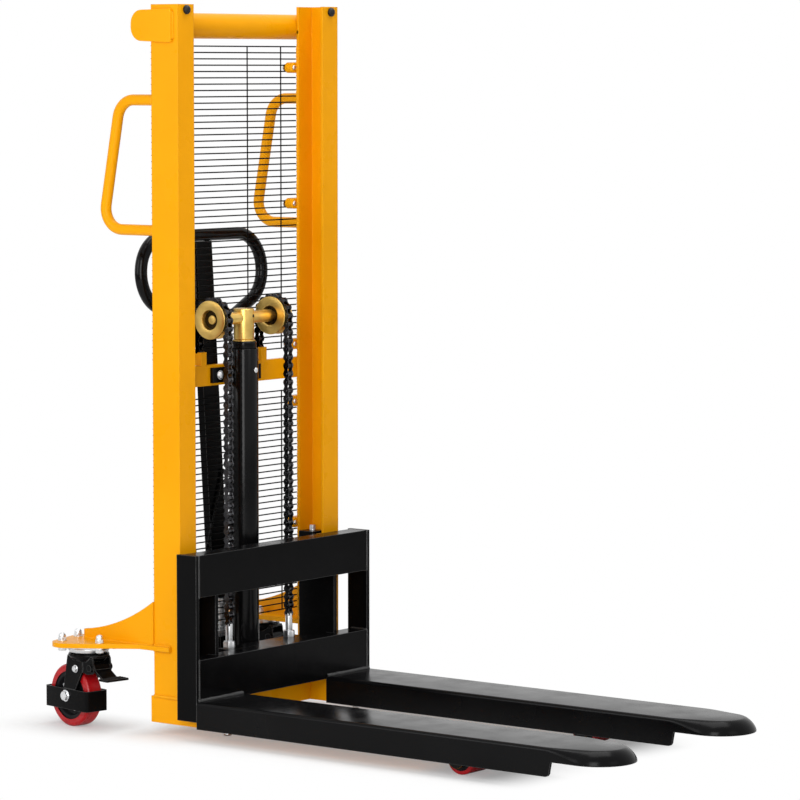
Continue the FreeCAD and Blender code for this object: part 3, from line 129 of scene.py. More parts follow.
def powder_coat(name, deep, full, edge, gloss, peel_depth=0.0004, edge_radius=0.0025, dark_from=None,
                **sockets):
    """Baked powder paint: cloudy tone between two colours, orange-peel bump about 1.5 mm wide,
    softened edges, and the edge colour speckled in where the metal turns, partly the thinner, worn
    film there and partly a painted highlight. Ahead of dark_from, a place along Y, the colour turns
    near black."""
    material, shader, add, fill = new_finish(name, **sockets)
    spot = add("TexCoord", {}).outputs["Object"]
    cloud = noise(add, spot, 5.0, 4.0)
    tone = ramp(add, cloud, (0.34, deep), (0.66, full))
    if dark_from is not None:
        # Ahead of dark_from the colour blends to near black.
        along = add("SeparateXYZ", {"Vector": spot}).outputs["Y"]
        dark_end_share = add("MapRange", {"Value": along, "From Min": dark_from + 0.004,
                                  "From Max": dark_from - 0.004}).outputs["Result"]
        tone = mixed_colour(add, dark_end_share, tone, (0.006, 0.006, 0.006, 1.0))
    soft_edge = add("Bevel", {"Radius": edge_radius}, samples=6).outputs["Normal"]
    flat = add("NewGeometry", {}).outputs["Normal"]
    turn = add("VectorMath", {0: soft_edge, 1: flat}, operation="DOT_PRODUCT").outputs["Value"]
    speckle = noise(add, spot, 240.0, 2.0)
    # Where the metal turns, the edge colour is speckled in: partly worn thin film, partly painted highlight.
    edge_mask = add("MapRange", {"Value": turn, "From Min": 0.99, "From Max": 0.86, "To Min": 0.0, "To Max": 0.55})
    edge_wear_and_highlight = worked_out(add, "MULTIPLY", edge_mask.outputs["Result"], speckle)
    colour = mixed_colour(add, edge_wear_and_highlight, tone, (*edge, 1.0))
    peel = noise(add, spot, 620.0, 1.5)
    skin = add("Bump", {"Strength": 0.22, "Distance": peel_depth, "Height": peel, "Normal": soft_edge})
    smear = noise(add, spot, 17.0, 5.0)
    fill(shader, {"Base Color": colour, "Roughness": spread(add, smear, gloss - 0.05, gloss + 0.06),
                  "Normal": skin.outputs["Normal"]})
    return material


def coat(finish, *nodes):
    """Gives CAD nodes that keep their own mesh a finish."""
    for node in nodes:
        mesh = frame["nodes"][node].data
        mesh.materials.clear()
        mesh.materials.append(finish)


def span(node):
    """A CAD node's lowest corner, highest corner and middle, in metres."""
    low, high = (np.array(corner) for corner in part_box(node))
    return low, high, (low + high) / 2


joints = {joint["name"]: joint for joint in frame["joints"]}
load_axle_y = joints["right_load_roller_spin"]["pos_m"][1]
AMBER = {"deep": (0.80, 0.330, 0.001), "full": (0.86, 0.358, 0.002), "gloss": 0.30, "peel_depth": 0.0002,
         "Specular_IOR_Level": 0.09}
DARK_END_LENGTH = 0.085
# The lighter amber edge colour is mostly a painted highlight along the corners, partly wear.
amber = powder_coat("amber_powder_coat", edge=(0.98, 0.52, 0.04), **AMBER)
# The legs turn near black at their front ends, by the load rollers.
leg_amber = powder_coat("leg_powder_coat", edge=(0.60, 0.30, 0.02), dark_from=load_axle_y + DARK_END_LENGTH,
                        **AMBER)
coat(amber, "base_crossbar")
coat(leg_amber, "right_leg", "left_leg")

# Load rollers: red polyurethane cast on dark steel cores, turning on plain steel axles that are
# pinned through the front ends of the legs.


def unit(vectors):
    """Vectors brought to length 1."""
    return vectors / np.linalg.norm(vectors, axis=-1, keepdims=True)


def softened(corners, radius, steps=5, closed=False):
    """A polyline with each corner replaced by a tangent arc: the arc's centre lies on the corner's
    bisector at radius / sin(half angle), and its points turn evenly between the two tangent spots."""
    corners = np.asarray(corners, dtype=float)
    before, corner, after = corners[:-2], corners[1:-1], corners[2:]
    if closed:
        before, corner, after = np.roll(corners, 1, axis=0), corners, np.roll(corners, -1, axis=0)
    inward, outward = unit(before - corner), unit(after - corner)
    half = np.arccos(np.clip((inward * outward).sum(axis=1), -1, 1))[:, None] / 2
    radius = np.broadcast_to(radius, len(corner))[:, None]
    centre = corner + unit(inward + outward) * radius / np.sin(half)
    first, last = corner + inward * radius / np.tan(half), corner + outward * radius / np.tan(half)
    turn = np.pi - 2 * half[:, :, None]
    share = np.linspace(0, 1, steps + 1)[None, :, None]
    arc = (np.sin((1 - share) * turn) * (first - centre)[:, None]
           + np.sin(share * turn) * (last - centre)[:, None]) / np.sin(turn)
    points = (centre[:, None] + arc).reshape(-1, corners.shape[1])
    if closed:
        return np.vstack([points, points[:1]])
    return np.vstack([corners[:1], points, corners[-1:]])


def lathe(profile, centre, axis, steps=48):
    """A profile of (along, radius) pairs turned about an axis through the centre."""
    profile, axis = np.asarray(profile, dtype=float), unit(np.asarray(axis, dtype=float))
    side = unit(np.cross(axis, (0.0, 0.0, 1.0) if abs(axis[2]) < 0.9 else (1.0, 0.0, 0.0)))
    angle = np.linspace(0, 2 * np.pi, steps + 1)[:, None]
    rim = np.cos(angle) * side + np.sin(angle) * np.cross(axis, side)
    return (np.asarray(centre, dtype=float) + profile[:, None, :1] * axis
            + profile[:, None, 1:] * rim[None])


def mirrored(half_profile):
    """A symmetrical profile from its half at positive places: the mirror image comes first."""
    half_profile = np.array(half_profile, dtype=float)
    return np.vstack([half_profile * (-1, 1), half_profile[::-1]])


def grid_faces(rows, columns):
    """Quads between neighbouring points of a grid stored row by row."""
    spot = np.arange(rows * columns).reshape(rows, columns)
    quads = np.stack([spot[:-1, :-1], spot[:-1, 1:], spot[1:, 1:], spot[1:, :-1]], axis=-1)
    return quads.reshape(-1, 4)


def make_piece(name, sheets, finish, slot, body, *replaced, crease=32):
    """One object from sheets of points shaped (..., rows, columns, 3). Quads join neighbours,
    doubles are merged so that seams and poles close, and the faces are turned outwards."""
    points, faces, start = [], [], 0
    for sheet in sheets:
        copies = sheet.reshape(-1, *sheet.shape[-3:])
        size = copies.shape[1] * copies.shape[2]
        offsets = start + size * np.arange(len(copies))
        points.append(copies.reshape(-1, 3))
        faces.append((grid_faces(*copies.shape[1:3])[None] + offsets[:, None, None]).reshape(-1, 4))
        start += size * len(copies)
    mesh = bpy.data.meshes.new(name)
    mesh.from_pydata(np.concatenate(points).tolist(), [], np.concatenate(faces).tolist())
    shell = bmesh.new()
    shell.from_mesh(mesh)
    bmesh.ops.remove_doubles(shell, verts=shell.verts, dist=1e-6)
    bmesh.ops.recalc_face_normals(shell, faces=shell.faces)
    shell.to_mesh(mesh)
    shell.free()
    mesh.polygons.foreach_set("use_smooth", np.ones(len(mesh.polygons), dtype=bool))
    mesh.set_sharp_from_angle(angle=math.radians(crease))
    mesh.materials.append(finish)
    piece = bpy.data.objects.new(name, mesh)
    bpy.context.scene.collection.objects.link(piece)
    if body:
        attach(piece, body)
    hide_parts(*replaced)
    return piece


def cast_rubber(name, deep, full, gloss, grain_scale, **sockets):
    """Moulded elastomer: faint flow clouds, a fine matt grain and softened mould edges."""
    material, shader, add, fill = new_finish(name, **sockets)
    spot = add("TexCoord", {}).outputs["Object"]
    flow = noise(add, spot, 26.0, 5.0, Distortion=0.8)
    grain = noise(add, spot, grain_scale, 2.0)
    soft_edge = add("Bevel", {"Radius": 0.0015}, samples=4).outputs["Normal"]
    skin = add("Bump", {"Strength": 0.25, "Distance": 0.0003, "Height": grain, "Normal": soft_edge})
    fill(shader, {"Base Color": ramp(add, flow, (0.32, deep), (0.68, full)),
                  "Roughness": spread(add, flow, gloss - 0.07, gloss + 0.08),
                  "Normal": skin.outputs["Normal"]})
    return material


def plated(name, deep, full, gloss, grain_scale=300.0, **sockets):
    """Plated or turned metal: patchy tint and gloss of the plating, fine machining grain in the bump."""
    material, shader, add, fill = new_finish(name, Metallic=1.0, **sockets)
    spot = add("TexCoord", {}).outputs["Object"]
    patch = noise(add, spot, 38.0, 3.0)
    grain = noise(add, spot, grain_scale, 2.0)
    soft_edge = add("Bevel", {"Radius": 0.0008}, samples=4).outputs["Normal"]
    skin = add("Bump", {"Strength": 0.03, "Distance": 0.0001, "Height": grain, "Normal": soft_edge})
    fill(shader, {"Base Color": ramp(add, patch, (0.3, deep), (0.7, full)),
                  "Roughness": spread(add, patch, gloss - 0.03, gloss + 0.04),
                  "Normal": skin.outputs["Normal"]})
    return material


SIDES = {"right": -1, "left": 1}
red_tread = cast_rubber("red_polyurethane", deep=(0.33, 0.003, 0.006), full=(0.45, 0.006, 0.010),
                        gloss=0.28, grain_scale=500.0, Specular_IOR_Level=0.3)
zinc = plated("bright_zinc", deep=(0.66, 0.67, 0.68), full=(0.76, 0.77, 0.78), gloss=0.33)
dark_core = powder_coat("dark_wheel_core", deep=(0.004, 0.004, 0.0045), full=(0.008, 0.008, 0.009),
                        edge=(0.05, 0.05, 0.05), gloss=0.42, Specular_IOR_Level=0.10)
LOAD_CORE = 0.027
LOAD_BORE = 0.0101
LOAD_LIP = 0.002
for side in SIDES:
    node = f"{side}_load_roller"
    low, high, middle = span(node)
    end, radius = (high[0] - low[0]) / 2, (high[2] - low[2]) / 2
    tread_end = end - LOAD_LIP
    tread = softened(mirrored([(tread_end, LOAD_CORE), (tread_end, radius)]), 0.004)
    make_piece(f"{side}_load_tread", [lathe(tread, middle, (1, 0, 0), 64)], red_tread,
               "red_polyurethane", node, node)
    core = mirrored([(tread_end, LOAD_CORE), (end, LOAD_CORE - LOAD_LIP), (end, LOAD_BORE)])
    make_piece(f"{side}_load_core", [lathe(core, middle, (1, 0, 0))], dark_core, "wheel_hub", node)
coat(zinc, "load_roller_axles")

# Columns: rolled steel channels that open towards each other, stood on the feet and welded all
# round, in the same amber coat as the legs.


def resampled(path, step):
    """Points at even distances along a polyline, and the distance of each from its start."""
    run = np.concatenate([[0.0], np.cumsum(np.linalg.norm(np.diff(path, axis=0), axis=1))])
    along = np.linspace(0, run[-1], max(2, int(run[-1] / step) + 1))
    return np.stack([np.interp(along, run, path[:, axis]) for axis in range(3)], axis=1), along


def ring(radius, steps=16):
    """A closed circle of points in the section's own plane."""
    angle = np.linspace(0, 2 * np.pi, steps + 1)
    return radius * np.stack([np.cos(angle), np.sin(angle)], axis=1)


def sweep(path, section, up, scale=1.0, closed=False):
    """A flat section carried along a path: its first number goes sideways, across both the path
    and up, its second number upwards. Open ends run to a point on the path, which closes them."""
    path, up = np.asarray(path, dtype=float), np.asarray(up, dtype=float)
    heading = np.gradient(path, axis=0)
    if closed:
        heading[[0, -1]] = path[1] - path[-2]
    heading = unit(heading)
    side = unit(np.cross(up, heading))
    rise = np.cross(heading, side)
    scale = np.broadcast_to(scale, len(path))[:, None, None]
    spokes = section[None, :, :1] * side[:, None] + section[None, :, 1:] * rise[:, None]
    wall = path[:, None] + scale * spokes
    if closed:
        return wall
    ends = np.repeat(path[[0, -1], None], len(section), axis=1)
    return np.concatenate([ends[:1], wall, ends[1:]])


def weld(path, width, up, closed=False, ripple=0.0042):
    """A weld bead: a round section along a seam whose radius swells once per ripple and wanders
    slowly, so that the surface shows the stacked scales of the weld pool."""
    line, along = resampled(np.asarray(path, dtype=float), ripple / 5)
    swell = (1 + 0.16 * np.cos(2 * np.pi * along / ripple) + 0.09 * np.sin(along * 61.0)
             + 0.06 * np.sin(along * 143.0 + 1.0))
    if closed:
        swell[-1] = swell[0]
    return sweep(line, ring(width / 2, 8), up, swell, closed)


def mast_piece(name, sheets, *replaced):
    """A piece of the fixed mast in its amber coat."""
    make_piece(name, sheets, amber, "mast_yellow", "mast_frame", *replaced)


coat(amber, "right_column", "left_column")
UPWARDS = (0, 0, 1)
FOOT_WELD = 0.008
foot_seams = []
for side in SIDES:
    low, high = span(f"{side}_column")[:2]
    corners = [low, (high[0], low[1], low[2]), (high[0], high[1], low[2]), (low[0], high[1], low[2])]
    foot_seams.append(weld(softened(corners, 0.003, closed=True), FOOT_WELD, UPWARDS, closed=True))
mast_piece("foot_welds", foot_seams)

# Top of the mast: ear plates welded to the outside of the columns, a round tube that ties them
# together, and a rubber stop button on the front of each column.


def plate(outline, thickness, edge):
    """A flat plate with eased edges as (rows, columns, 3): the outline twice at full size between
    two copies drawn in by the edge radius, closed by a point at the middle of each face."""
    outline = np.asarray(outline, dtype=float)
    middle = outline[:-1].mean(axis=0)
    drawn_in = outline + unit(middle - outline) * edge
    rows = [(np.broadcast_to(middle, outline.shape), 0.0), (drawn_in, 0.0), (outline, edge),
            (outline, thickness - edge), (drawn_in, thickness),
            (np.broadcast_to(middle, outline.shape), thickness)]
    return np.stack([np.column_stack([flat, np.full(len(flat), level)]) for flat, level in rows])


low, high = span("top_ears")[:2]
tube_low, tube_high, tube_middle = span("top_tube")
column_low, column_high = span("right_column")[:2]
column_out, column_in = -column_low[0], -column_high[0]
ear_thick = column_low[0] - low[0]
EAR_FRONT_ROUND = 0.006
EAR_REAR_ROUND = 0.030
EAR_TRIM = 0.009
EAR_FRONT_DROP = 0.005
EAR_FRONT_RISE = 0.002
ear_end = high[1] - EAR_TRIM
ear_outline = softened([(low[1], low[2] - EAR_FRONT_DROP), (ear_end, low[2]), (ear_end, high[2]),
                        (low[1], high[2] + EAR_FRONT_RISE)],
                       [EAR_FRONT_ROUND, EAR_REAR_ROUND, EAR_REAR_ROUND, EAR_FRONT_ROUND], 10, closed=True)
ear = plate(ear_outline, ear_thick, 0.0012)
ears = [np.stack([inside + ear[..., 2], ear[..., 0], ear[..., 1]], axis=-1)
        for inside in (high[0] - ear_thick, low[0])]
mast_piece("ear_plates", ears, "top_ears")
tube_half, tube_radius = (tube_high[0] - tube_low[0]) / 2, (tube_high[2] - tube_low[2]) / 2
TUBE_WALL = 0.003
tube_bore = tube_radius - TUBE_WALL
tube_profile = [(-tube_half, tube_bore), (-tube_half, tube_radius), (tube_half, tube_radius),
                (tube_half, tube_bore), (-tube_half, tube_bore)]
mast_piece("top_cross_tube", [lathe(tube_profile, tube_middle, (1, 0, 0), 72)], "top_tube")
EAR_WELD = 0.008
TUBE_SEAT = 0.012
ear_seams = []
for s in SIDES.values():
    face, inner = s * column_out, s * column_in
    front_seam = [(face, low[1], low[2] + EAR_WELD / 2), (face, low[1], high[2] - EAR_WELD / 2)]
    ear_seams += [weld(front_seam, EAR_WELD, (1, 0, 0)),
                  weld([(face, low[1], low[2]), (face, column_high[1], low[2])], 0.75 * EAR_WELD, (1, 0, 0)),
                  weld([(face - s * TUBE_SEAT, column_high[1], tube_middle[2] - TUBE_SEAT),
                        (inner, column_high[1], tube_middle[2] - TUBE_SEAT)], EAR_WELD, UPWARDS)]
mast_piece("ear_welds", ear_seams)

black_rubber = cast_rubber("stop_rubber", deep=(0.005, 0.005, 0.006), full=(0.010, 0.010, 0.011),
                           gloss=0.45, grain_scale=900.0, Specular_IOR_Level=0.25)
low, high, middle = span("stop_buttons")
button_radius, button_depth = (high[2] - low[2]) / 2, high[1] - low[1]
button = softened([(0, 0), (0, button_radius), (0.55 * button_depth, button_radius),
                   (button_depth, 0.55 * button_radius), (button_depth, 0)], 0.0025)
buttons = [lathe(button, (s * (high[0] - button_radius), high[1], middle[2]), (0, -1, 0), 32)
           for s in SIDES.values()]
make_piece("stop_button_caps", buttons, black_rubber, "rubber_black", "mast_frame", "stop_buttons")

# Grab handles: round steel tube bent to a slanting loop and welded to the back of each column,
# coated with the mast.
GRIP_TUBE = 0.012
GRIP_BEND = 0.046
GRIP_UPPER_REACH = 0.102
GRIP_LOWER_REACH = 0.155
GRIP_WELD = 0.005
for side in SIDES:
    node = f"{side}_grip"
    low, high, middle = span(node)
    top, bottom, back = high[2] - GRIP_TUBE, low[2] + GRIP_TUBE, low[1]
    corners = [(middle[0], back, top), (middle[0], back + GRIP_UPPER_REACH, top),
               (middle[0], back + GRIP_LOWER_REACH, bottom), (middle[0], back, bottom)]
    line = softened(corners, GRIP_BEND, 14)
    collar = ring(GRIP_TUBE + 0.001, 40)
    collar_y = np.full(len(collar), back + 0.001)
    seats = [weld(np.column_stack([collar[:, 0] + middle[0], collar_y, collar[:, 1] + z]), GRIP_WELD,
                  (0, 1, 0), closed=True) for z in (top, bottom)]
    mast_piece(f"{side}_grab_handle", [sweep(line, ring(GRIP_TUBE, 28), (1, 0, 0)), *seats], node)

# Middle cross beam, guard lugs and wire guards: the beam and lugs are amber steel behind the
# columns, and each guard is level black wires at one pitch, spot-welded to upright wires.
coat(amber, "middle_beam")
wire_black = powder_coat("black_wire_coat", deep=(0.002, 0.002, 0.002), full=(0.004, 0.004, 0.004),
                         edge=(0.02, 0.02, 0.02), gloss=0.45, edge_radius=0.0005, Specular_IOR_Level=0.03)
WIRE_PITCH = 0.014
UPRIGHT_X = (-0.198, 0.079, 0.198)
for level in ("upper", "lower"):
    node = f"{level}_mesh_guard"
    low, high, middle = span(node)
    wire = (high[1] - low[1]) / 2
    rows = round((high[2] - low[2] - 2 * wire) / WIRE_PITCH) + 1
    heights = low[2] + wire + WIRE_PITCH * np.arange(rows)
    level_wire = sweep([(low[0], middle[1], 0), (high[0], middle[1], 0)], ring(wire, 8), UPWARDS)
    level_wires = level_wire[None] + heights[:, None, None, None] * np.array((0.0, 0.0, 1.0))
    post = sweep([(0, middle[1] + wire, low[2]), (0, middle[1] + wire, high[2])], ring(wire, 8), (0, 1, 0))
    posts = post[None] + np.array(UPRIGHT_X)[:, None, None, None] * np.array((1.0, 0.0, 0.0))
    make_piece(f"{level}_wire_guard", [level_wires, posts], wire_black, "wire_black", "mast_frame", node)
LUG_HEIGHTS = (1.463, 1.155, 0.834, 0.703, 0.424)
LUG_HALF = 0.012
LUG_REACH = 0.018
LUG_SEAT = 0.026
lug_low, lug_high = span("guard_lugs")[:2]
lug_inner, lug_outer = column_in - LUG_REACH, column_in + LUG_SEAT
lug_rim = softened([(lug_inner, -LUG_HALF), (lug_outer, -LUG_HALF), (lug_outer, LUG_HALF),
                    (lug_inner, LUG_HALF)], [0.0112, 0.002, 0.002, 0.0112], 8, closed=True)
lug_plate = plate(lug_rim, lug_high[1] - lug_low[1], 0.0025)
lugs = [np.stack([s * lug_plate[..., 0], lug_low[1] + lug_plate[..., 2], height + lug_plate[..., 1]], axis=-1)
        for s in SIDES.values() for height in LUG_HEIGHTS]
mast_piece("guard_lug_tabs", lugs, "guard_lugs")
GUARD_SEAM = 0.0055
GUARD_RIPPLE = 0.0075
seam_y = column_high[1] - 0.0022
seam_ends = (span("lower_mesh_guard")[0][2], span("upper_mesh_guard")[1][2])
flange_seams = [weld([(s * column_in, seam_y, z) for z in seam_ends], GUARD_SEAM, (0, 1, 0),
                     ripple=GUARD_RIPPLE) for s in SIDES.values()]
mast_piece("flange_stitch_welds", flange_seams)

# Outriggers and caster plates: amber plates welded behind the columns, stiffened by a concave
# gusset each, with a zinc caster plate and its fixed ball race bolted under each one.
coat(amber, "right_outrigger", "left_outrigger", "outrigger_gussets")
gusset_low, gusset_high = span("outrigger_gussets")[:2]
GUSSET_WELD = 0.005
ARM_WELD = 0.007
GUSSET_HALF = 0.004
CASTER_SPLAY = math.radians(13)
PLATE_HALF = (0.046, 0.058)
PLATE_THICK = 0.006
RACE_RADIUS = 0.047
gusset_seams = []
for side, s in SIDES.items():
    seam_x = s * gusset_high[0]
    for x in (seam_x, seam_x - 2 * s * GUSSET_HALF):
        gusset_seams.append(weld([(x, gusset_low[1], gusset_low[2]), (x, gusset_high[1], gusset_low[2])],
                                 GUSSET_WELD, UPWARDS))
    arm_low, arm_high = span(f"{side}_outrigger")[:2]
    for z in (arm_low[2], arm_high[2]):
        arm_seam = [(s * column_out, arm_low[1] + 0.002, z), (s * column_out, column_high[1], z)]
        gusset_seams.append(weld(arm_seam, ARM_WELD, UPWARDS))
mast_piece("gusset_welds", gusset_seams)


def oblong(half_length, half_width):
    """The four corners of a rectangle about the middle."""
    return np.array([(-1, -1), (1, -1), (1, 1), (-1, 1)]) * (half_length, half_width)


def on_caster_plate(side, out, back, height):
    """Places on a splayed caster plate: so far out and back from the swivel axis, turned by the splay."""
    s = SIDES[side]
    swivel = joints[f"{side}_caster_swivel"]["pos_m"]
    out, back, height = np.broadcast_arrays(out, back, height)
    x = swivel[0] + s * (out * math.cos(CASTER_SPLAY) + back * math.sin(CASTER_SPLAY))
    y = swivel[1] - out * math.sin(CASTER_SPLAY) + back * math.cos(CASTER_SPLAY)
    return np.stack([x, y, height], axis=-1)


race_low, race_high = span("caster_plates")[:2]
race_top = race_high[2] - PLATE_THICK
race_drop = race_top - race_low[2]
rim = softened(oblong(*PLATE_HALF), 0.008, closed=True)
flat = plate(rim, PLATE_THICK, 0.001)
race = softened([(0, 0), (0, RACE_RADIUS), (-0.22 * race_drop, RACE_RADIUS),
                 (-0.75 * race_drop, 0.93 * RACE_RADIUS), (-race_drop, 0.84 * RACE_RADIUS),
                 (-race_drop, 0)], 0.0012, 4)
top_plates = []
for side in SIDES:
    swivel = joints[f"{side}_caster_swivel"]["pos_m"]
    top_plates += [on_caster_plate(side, flat[..., 0], flat[..., 1], race_top + flat[..., 2]),
                   lathe(race, (swivel[0], swivel[1], race_top), UPWARDS, 72)]
make_piece("caster_top_plates", top_plates, zinc, "bright_zinc", "mast_frame", "caster_plates")

# Fixed fasteners: hexagon bolts with domed nuts hold the caster plates, two domed bolts the ears
# of the cylinder, a pair of domed screws each guard lug, and a stud stands under each leg. Bright zinc.


def hexagon(flats, levels, centre, axis, steps=36):
    """A hexagonal bolt head or nut: levels are (along, share) pairs, each a ring of the hexagon's
    polar radius (half its flats over the cosine of the angle from the nearest flat), cut off
    by a circle where the share is below 1."""
    axis = unit(np.asarray(axis, dtype=float))
    side = unit(np.cross(axis, (0.0, 0.0, 1.0) if abs(axis[2]) < 0.9 else (1.0, 0.0, 0.0)))
    angle = np.linspace(0, 2 * np.pi, steps + 1)
    from_flat = np.mod(angle, np.pi / 3) - np.pi / 6
    six = flats / 2 / np.cos(from_flat)
    along, share = np.array(levels, dtype=float).T
    reach = np.minimum(six[None], share[:, None] * flats / math.sqrt(3))
    rim = np.cos(angle)[:, None] * side + np.sin(angle)[:, None] * np.cross(axis, side)
    return np.asarray(centre) + along[:, None, None] * axis + reach[..., None] * rim[None]


def bolt_head(flats, height, centre, axis):
    """A hexagon head, chamfered at its top corners."""
    return hexagon(flats, [(0, 0), (0, 1), (0.82 * height, 1), (height, 0.88), (height, 0)], centre, axis)


def dome(radius, height):
    """A low cap as (along, radius) pairs: a quarter of an ellipse over a short straight skirt."""
    angle = np.linspace(0, np.pi / 2, 8)
    cap = np.stack([0.35 * height + 0.65 * height * np.sin(angle), radius * np.cos(angle)], axis=1)
    return np.vstack([[(0, 0), (0, radius)], cap])


def bar(start, end, radius):
    """A plain round bar as (along, radius) pairs."""
    return [(start, 0), (start, radius), (end, radius), (end, 0)]


def washer(radius, thickness, centre, axis):
    """A plain round washer."""
    return lathe(bar(0, thickness, radius), centre, axis, 28)


BOLT_OUT = 0.036
BOLT_BACK = 0.047
NUT_FLATS = 0.017
NUT_HEIGHT = 0.008
NUT_CAP = 0.010
WASHER_RADIUS = 0.0105
WASHER_THICK = 0.0015
outrigger_top = span("right_outrigger")[1][2]
nut_levels = [(WASHER_THICK, 0), (WASHER_THICK, 1), (NUT_HEIGHT - 0.001, 1), (NUT_HEIGHT, 0.9),
              (NUT_HEIGHT, 0)]
fasteners = []
for side in SIDES:
    for out, back in ((i * BOLT_OUT, j * BOLT_BACK) for i in (-1, 1) for j in (-1, 1)):
        spot = on_caster_plate(side, out, back, outrigger_top)
        fasteners += [washer(WASHER_RADIUS, WASHER_THICK, spot, UPWARDS),
                      hexagon(NUT_FLATS, nut_levels, spot, UPWARDS),
                      lathe(dome(0.0080, NUT_CAP), spot + (0, 0, NUT_HEIGHT), UPWARDS, 24),
                      bolt_head(NUT_FLATS, 0.006, (*spot[:2], race_top), (0, 0, -1))]
CLAMP_BOLT = 0.0085
CLAMP_BOLT_X = 0.059
STUD_RADIUS = 0.009
STUD_NECK = 0.006
STUD_PLACE = (0.226, 0.298314)
LUG_SCREW = 0.006
LUG_X = 0.215
stud_bottom, leg_bottom = span("frame_fasteners")[0][2], span("right_leg")[0][2]
stud_shoulder = leg_bottom - STUD_NECK
stud = softened([(stud_bottom, 0), (stud_bottom, STUD_RADIUS), (stud_shoulder, STUD_RADIUS),
                 (stud_shoulder, 0.7 * STUD_RADIUS), (leg_bottom, 0.7 * STUD_RADIUS)], 0.0015, 3)
clamp_low, _, clamp_middle = span("cylinder_clamp")
mesh_back = span("upper_mesh_guard")[1][1]
for s in SIDES.values():
    fasteners.append(lathe(stud, (s * STUD_PLACE[0], STUD_PLACE[1], 0), UPWARDS, 32))
    clamp_spot = (s * CLAMP_BOLT_X, clamp_low[1], clamp_middle[2])
    fasteners += [washer(WASHER_RADIUS, WASHER_THICK, clamp_spot, (0, -1, 0)),
                  lathe(dome(CLAMP_BOLT, 0.006), clamp_spot, (0, -1, 0), 28)]
    for height in LUG_HEIGHTS:
        fasteners += [lathe(dome(LUG_SCREW, 0.004), (s * LUG_X, lug_low[1], height), (0, -1, 0), 20),
                      lathe(dome(LUG_SCREW + 0.002, 0.005), (s * LUG_X, mesh_back, height), (0, 1, 0), 20)]
make_piece("frame_bolts", fasteners, zinc, "bright_zinc", "mast_frame", "frame_fasteners")

# Swivel casters: a pressed black fork with its toe guard, a red tread on a dark hub that turns on
# a long hexagon bolt, and a black brake pedal with a ribbed step.
# The light grey edge colour is mostly a painted highlight along the black edges, partly worn film.
black_coat = powder_coat("black_powder_coat", deep=(0.0018, 0.0018, 0.0020), full=(0.0034, 0.0034, 0.0036),
                         edge=(0.24, 0.24, 0.24), gloss=0.21, peel_depth=0.00015, Specular_IOR_Level=0.05)
AXLE_FLATS = 0.019
GUARD_HALF_WIDTH = 0.030
GUARD_HALF_LENGTH = 0.075
GUARD_PLATE = 0.003
GUARD_DROP = 0.030
GUARD_HEIGHT = 0.046
LEG_INSIDE = 0.022
STRAP_PLATE = 0.006
CHEEK_PLATE = 0.0036
CROWN_BOTTOM = 0.1607
CROWN_RADIUS = 0.046
BRIDGE_PLATE = 0.005
AXLE_HALF = 0.0295
AXLE_RADIUS = 0.0099
PEDAL_PIN_FLATS = 0.015
PEDAL_PIN_HALF = 0.0265
PEDAL_PIN_RADIUS = 0.0049
TREAD_SEAT = 0.054
TREAD_HALF = 0.020
TREAD_CHAMFER = 0.004
HUB_BORE = 0.0101
HUB_WEB = 0.010
STUD_CIRCLE = 0.032
STRAP_BOLT_FLATS = 0.0125
STRAP_BOLT_BACK = 0.012
STRAP_BOLT_Z = 0.134
STEP_DROP = 0.019
RIB_HALF = 0.026
RIB_RADIUS = 0.0016
RIB_BACKS = (0.080, 0.088, 0.096)
upwards = np.array(UPWARDS, dtype=float)
cheek_rim = softened([(-0.030, CROWN_BOTTOM + 0.004), (0.046, CROWN_BOTTOM + 0.004), (0.050, 0.128),
                      (0.024, 0.124), (0.002, 0.130)], [0.004, 0.006, 0.008, 0.008, 0.010], 6, closed=True)
cheek = plate(cheek_rim, CHEEK_PLATE, 0.0008)
bridge_half = LEG_INSIDE + CHEEK_PLATE
bridge_rim = softened([(-0.036, -bridge_half), (0.046, -bridge_half), (0.046, bridge_half),
                       (-0.036, bridge_half)], 0.004, closed=True)
bridge = plate(bridge_rim, BRIDGE_PLATE, 0.001)
crown = softened([(CROWN_BOTTOM + 0.009, 0), (CROWN_BOTTOM + 0.009, CROWN_RADIUS - 0.001),
                  (CROWN_BOTTOM + 0.004, CROWN_RADIUS), (CROWN_BOTTOM - 0.001, CROWN_RADIUS - 0.004),
                  (CROWN_BOTTOM - 0.008, 0.034), (CROWN_BOTTOM - 0.008, 0)], 0.002, 4)
guard_plan = softened(oblong(GUARD_HALF_LENGTH - GUARD_PLATE / 2, GUARD_HALF_WIDTH - GUARD_PLATE / 2), 0.005,
                      closed=True)
strip = oblong(GUARD_PLATE / 2, GUARD_HEIGHT / 2)[[0, 1, 2, 3, 0]]
hub = softened(mirrored([(0.0175, TREAD_SEAT + 0.0002), (0.0175, 0.046), (HUB_WEB, 0.042), (HUB_WEB, 0.022),
                         (0.021, 0.020), (0.021, HUB_BORE)]), 0.0012, 3)
spokes = np.linspace(0, 2 * np.pi, 6)[:-1, None]
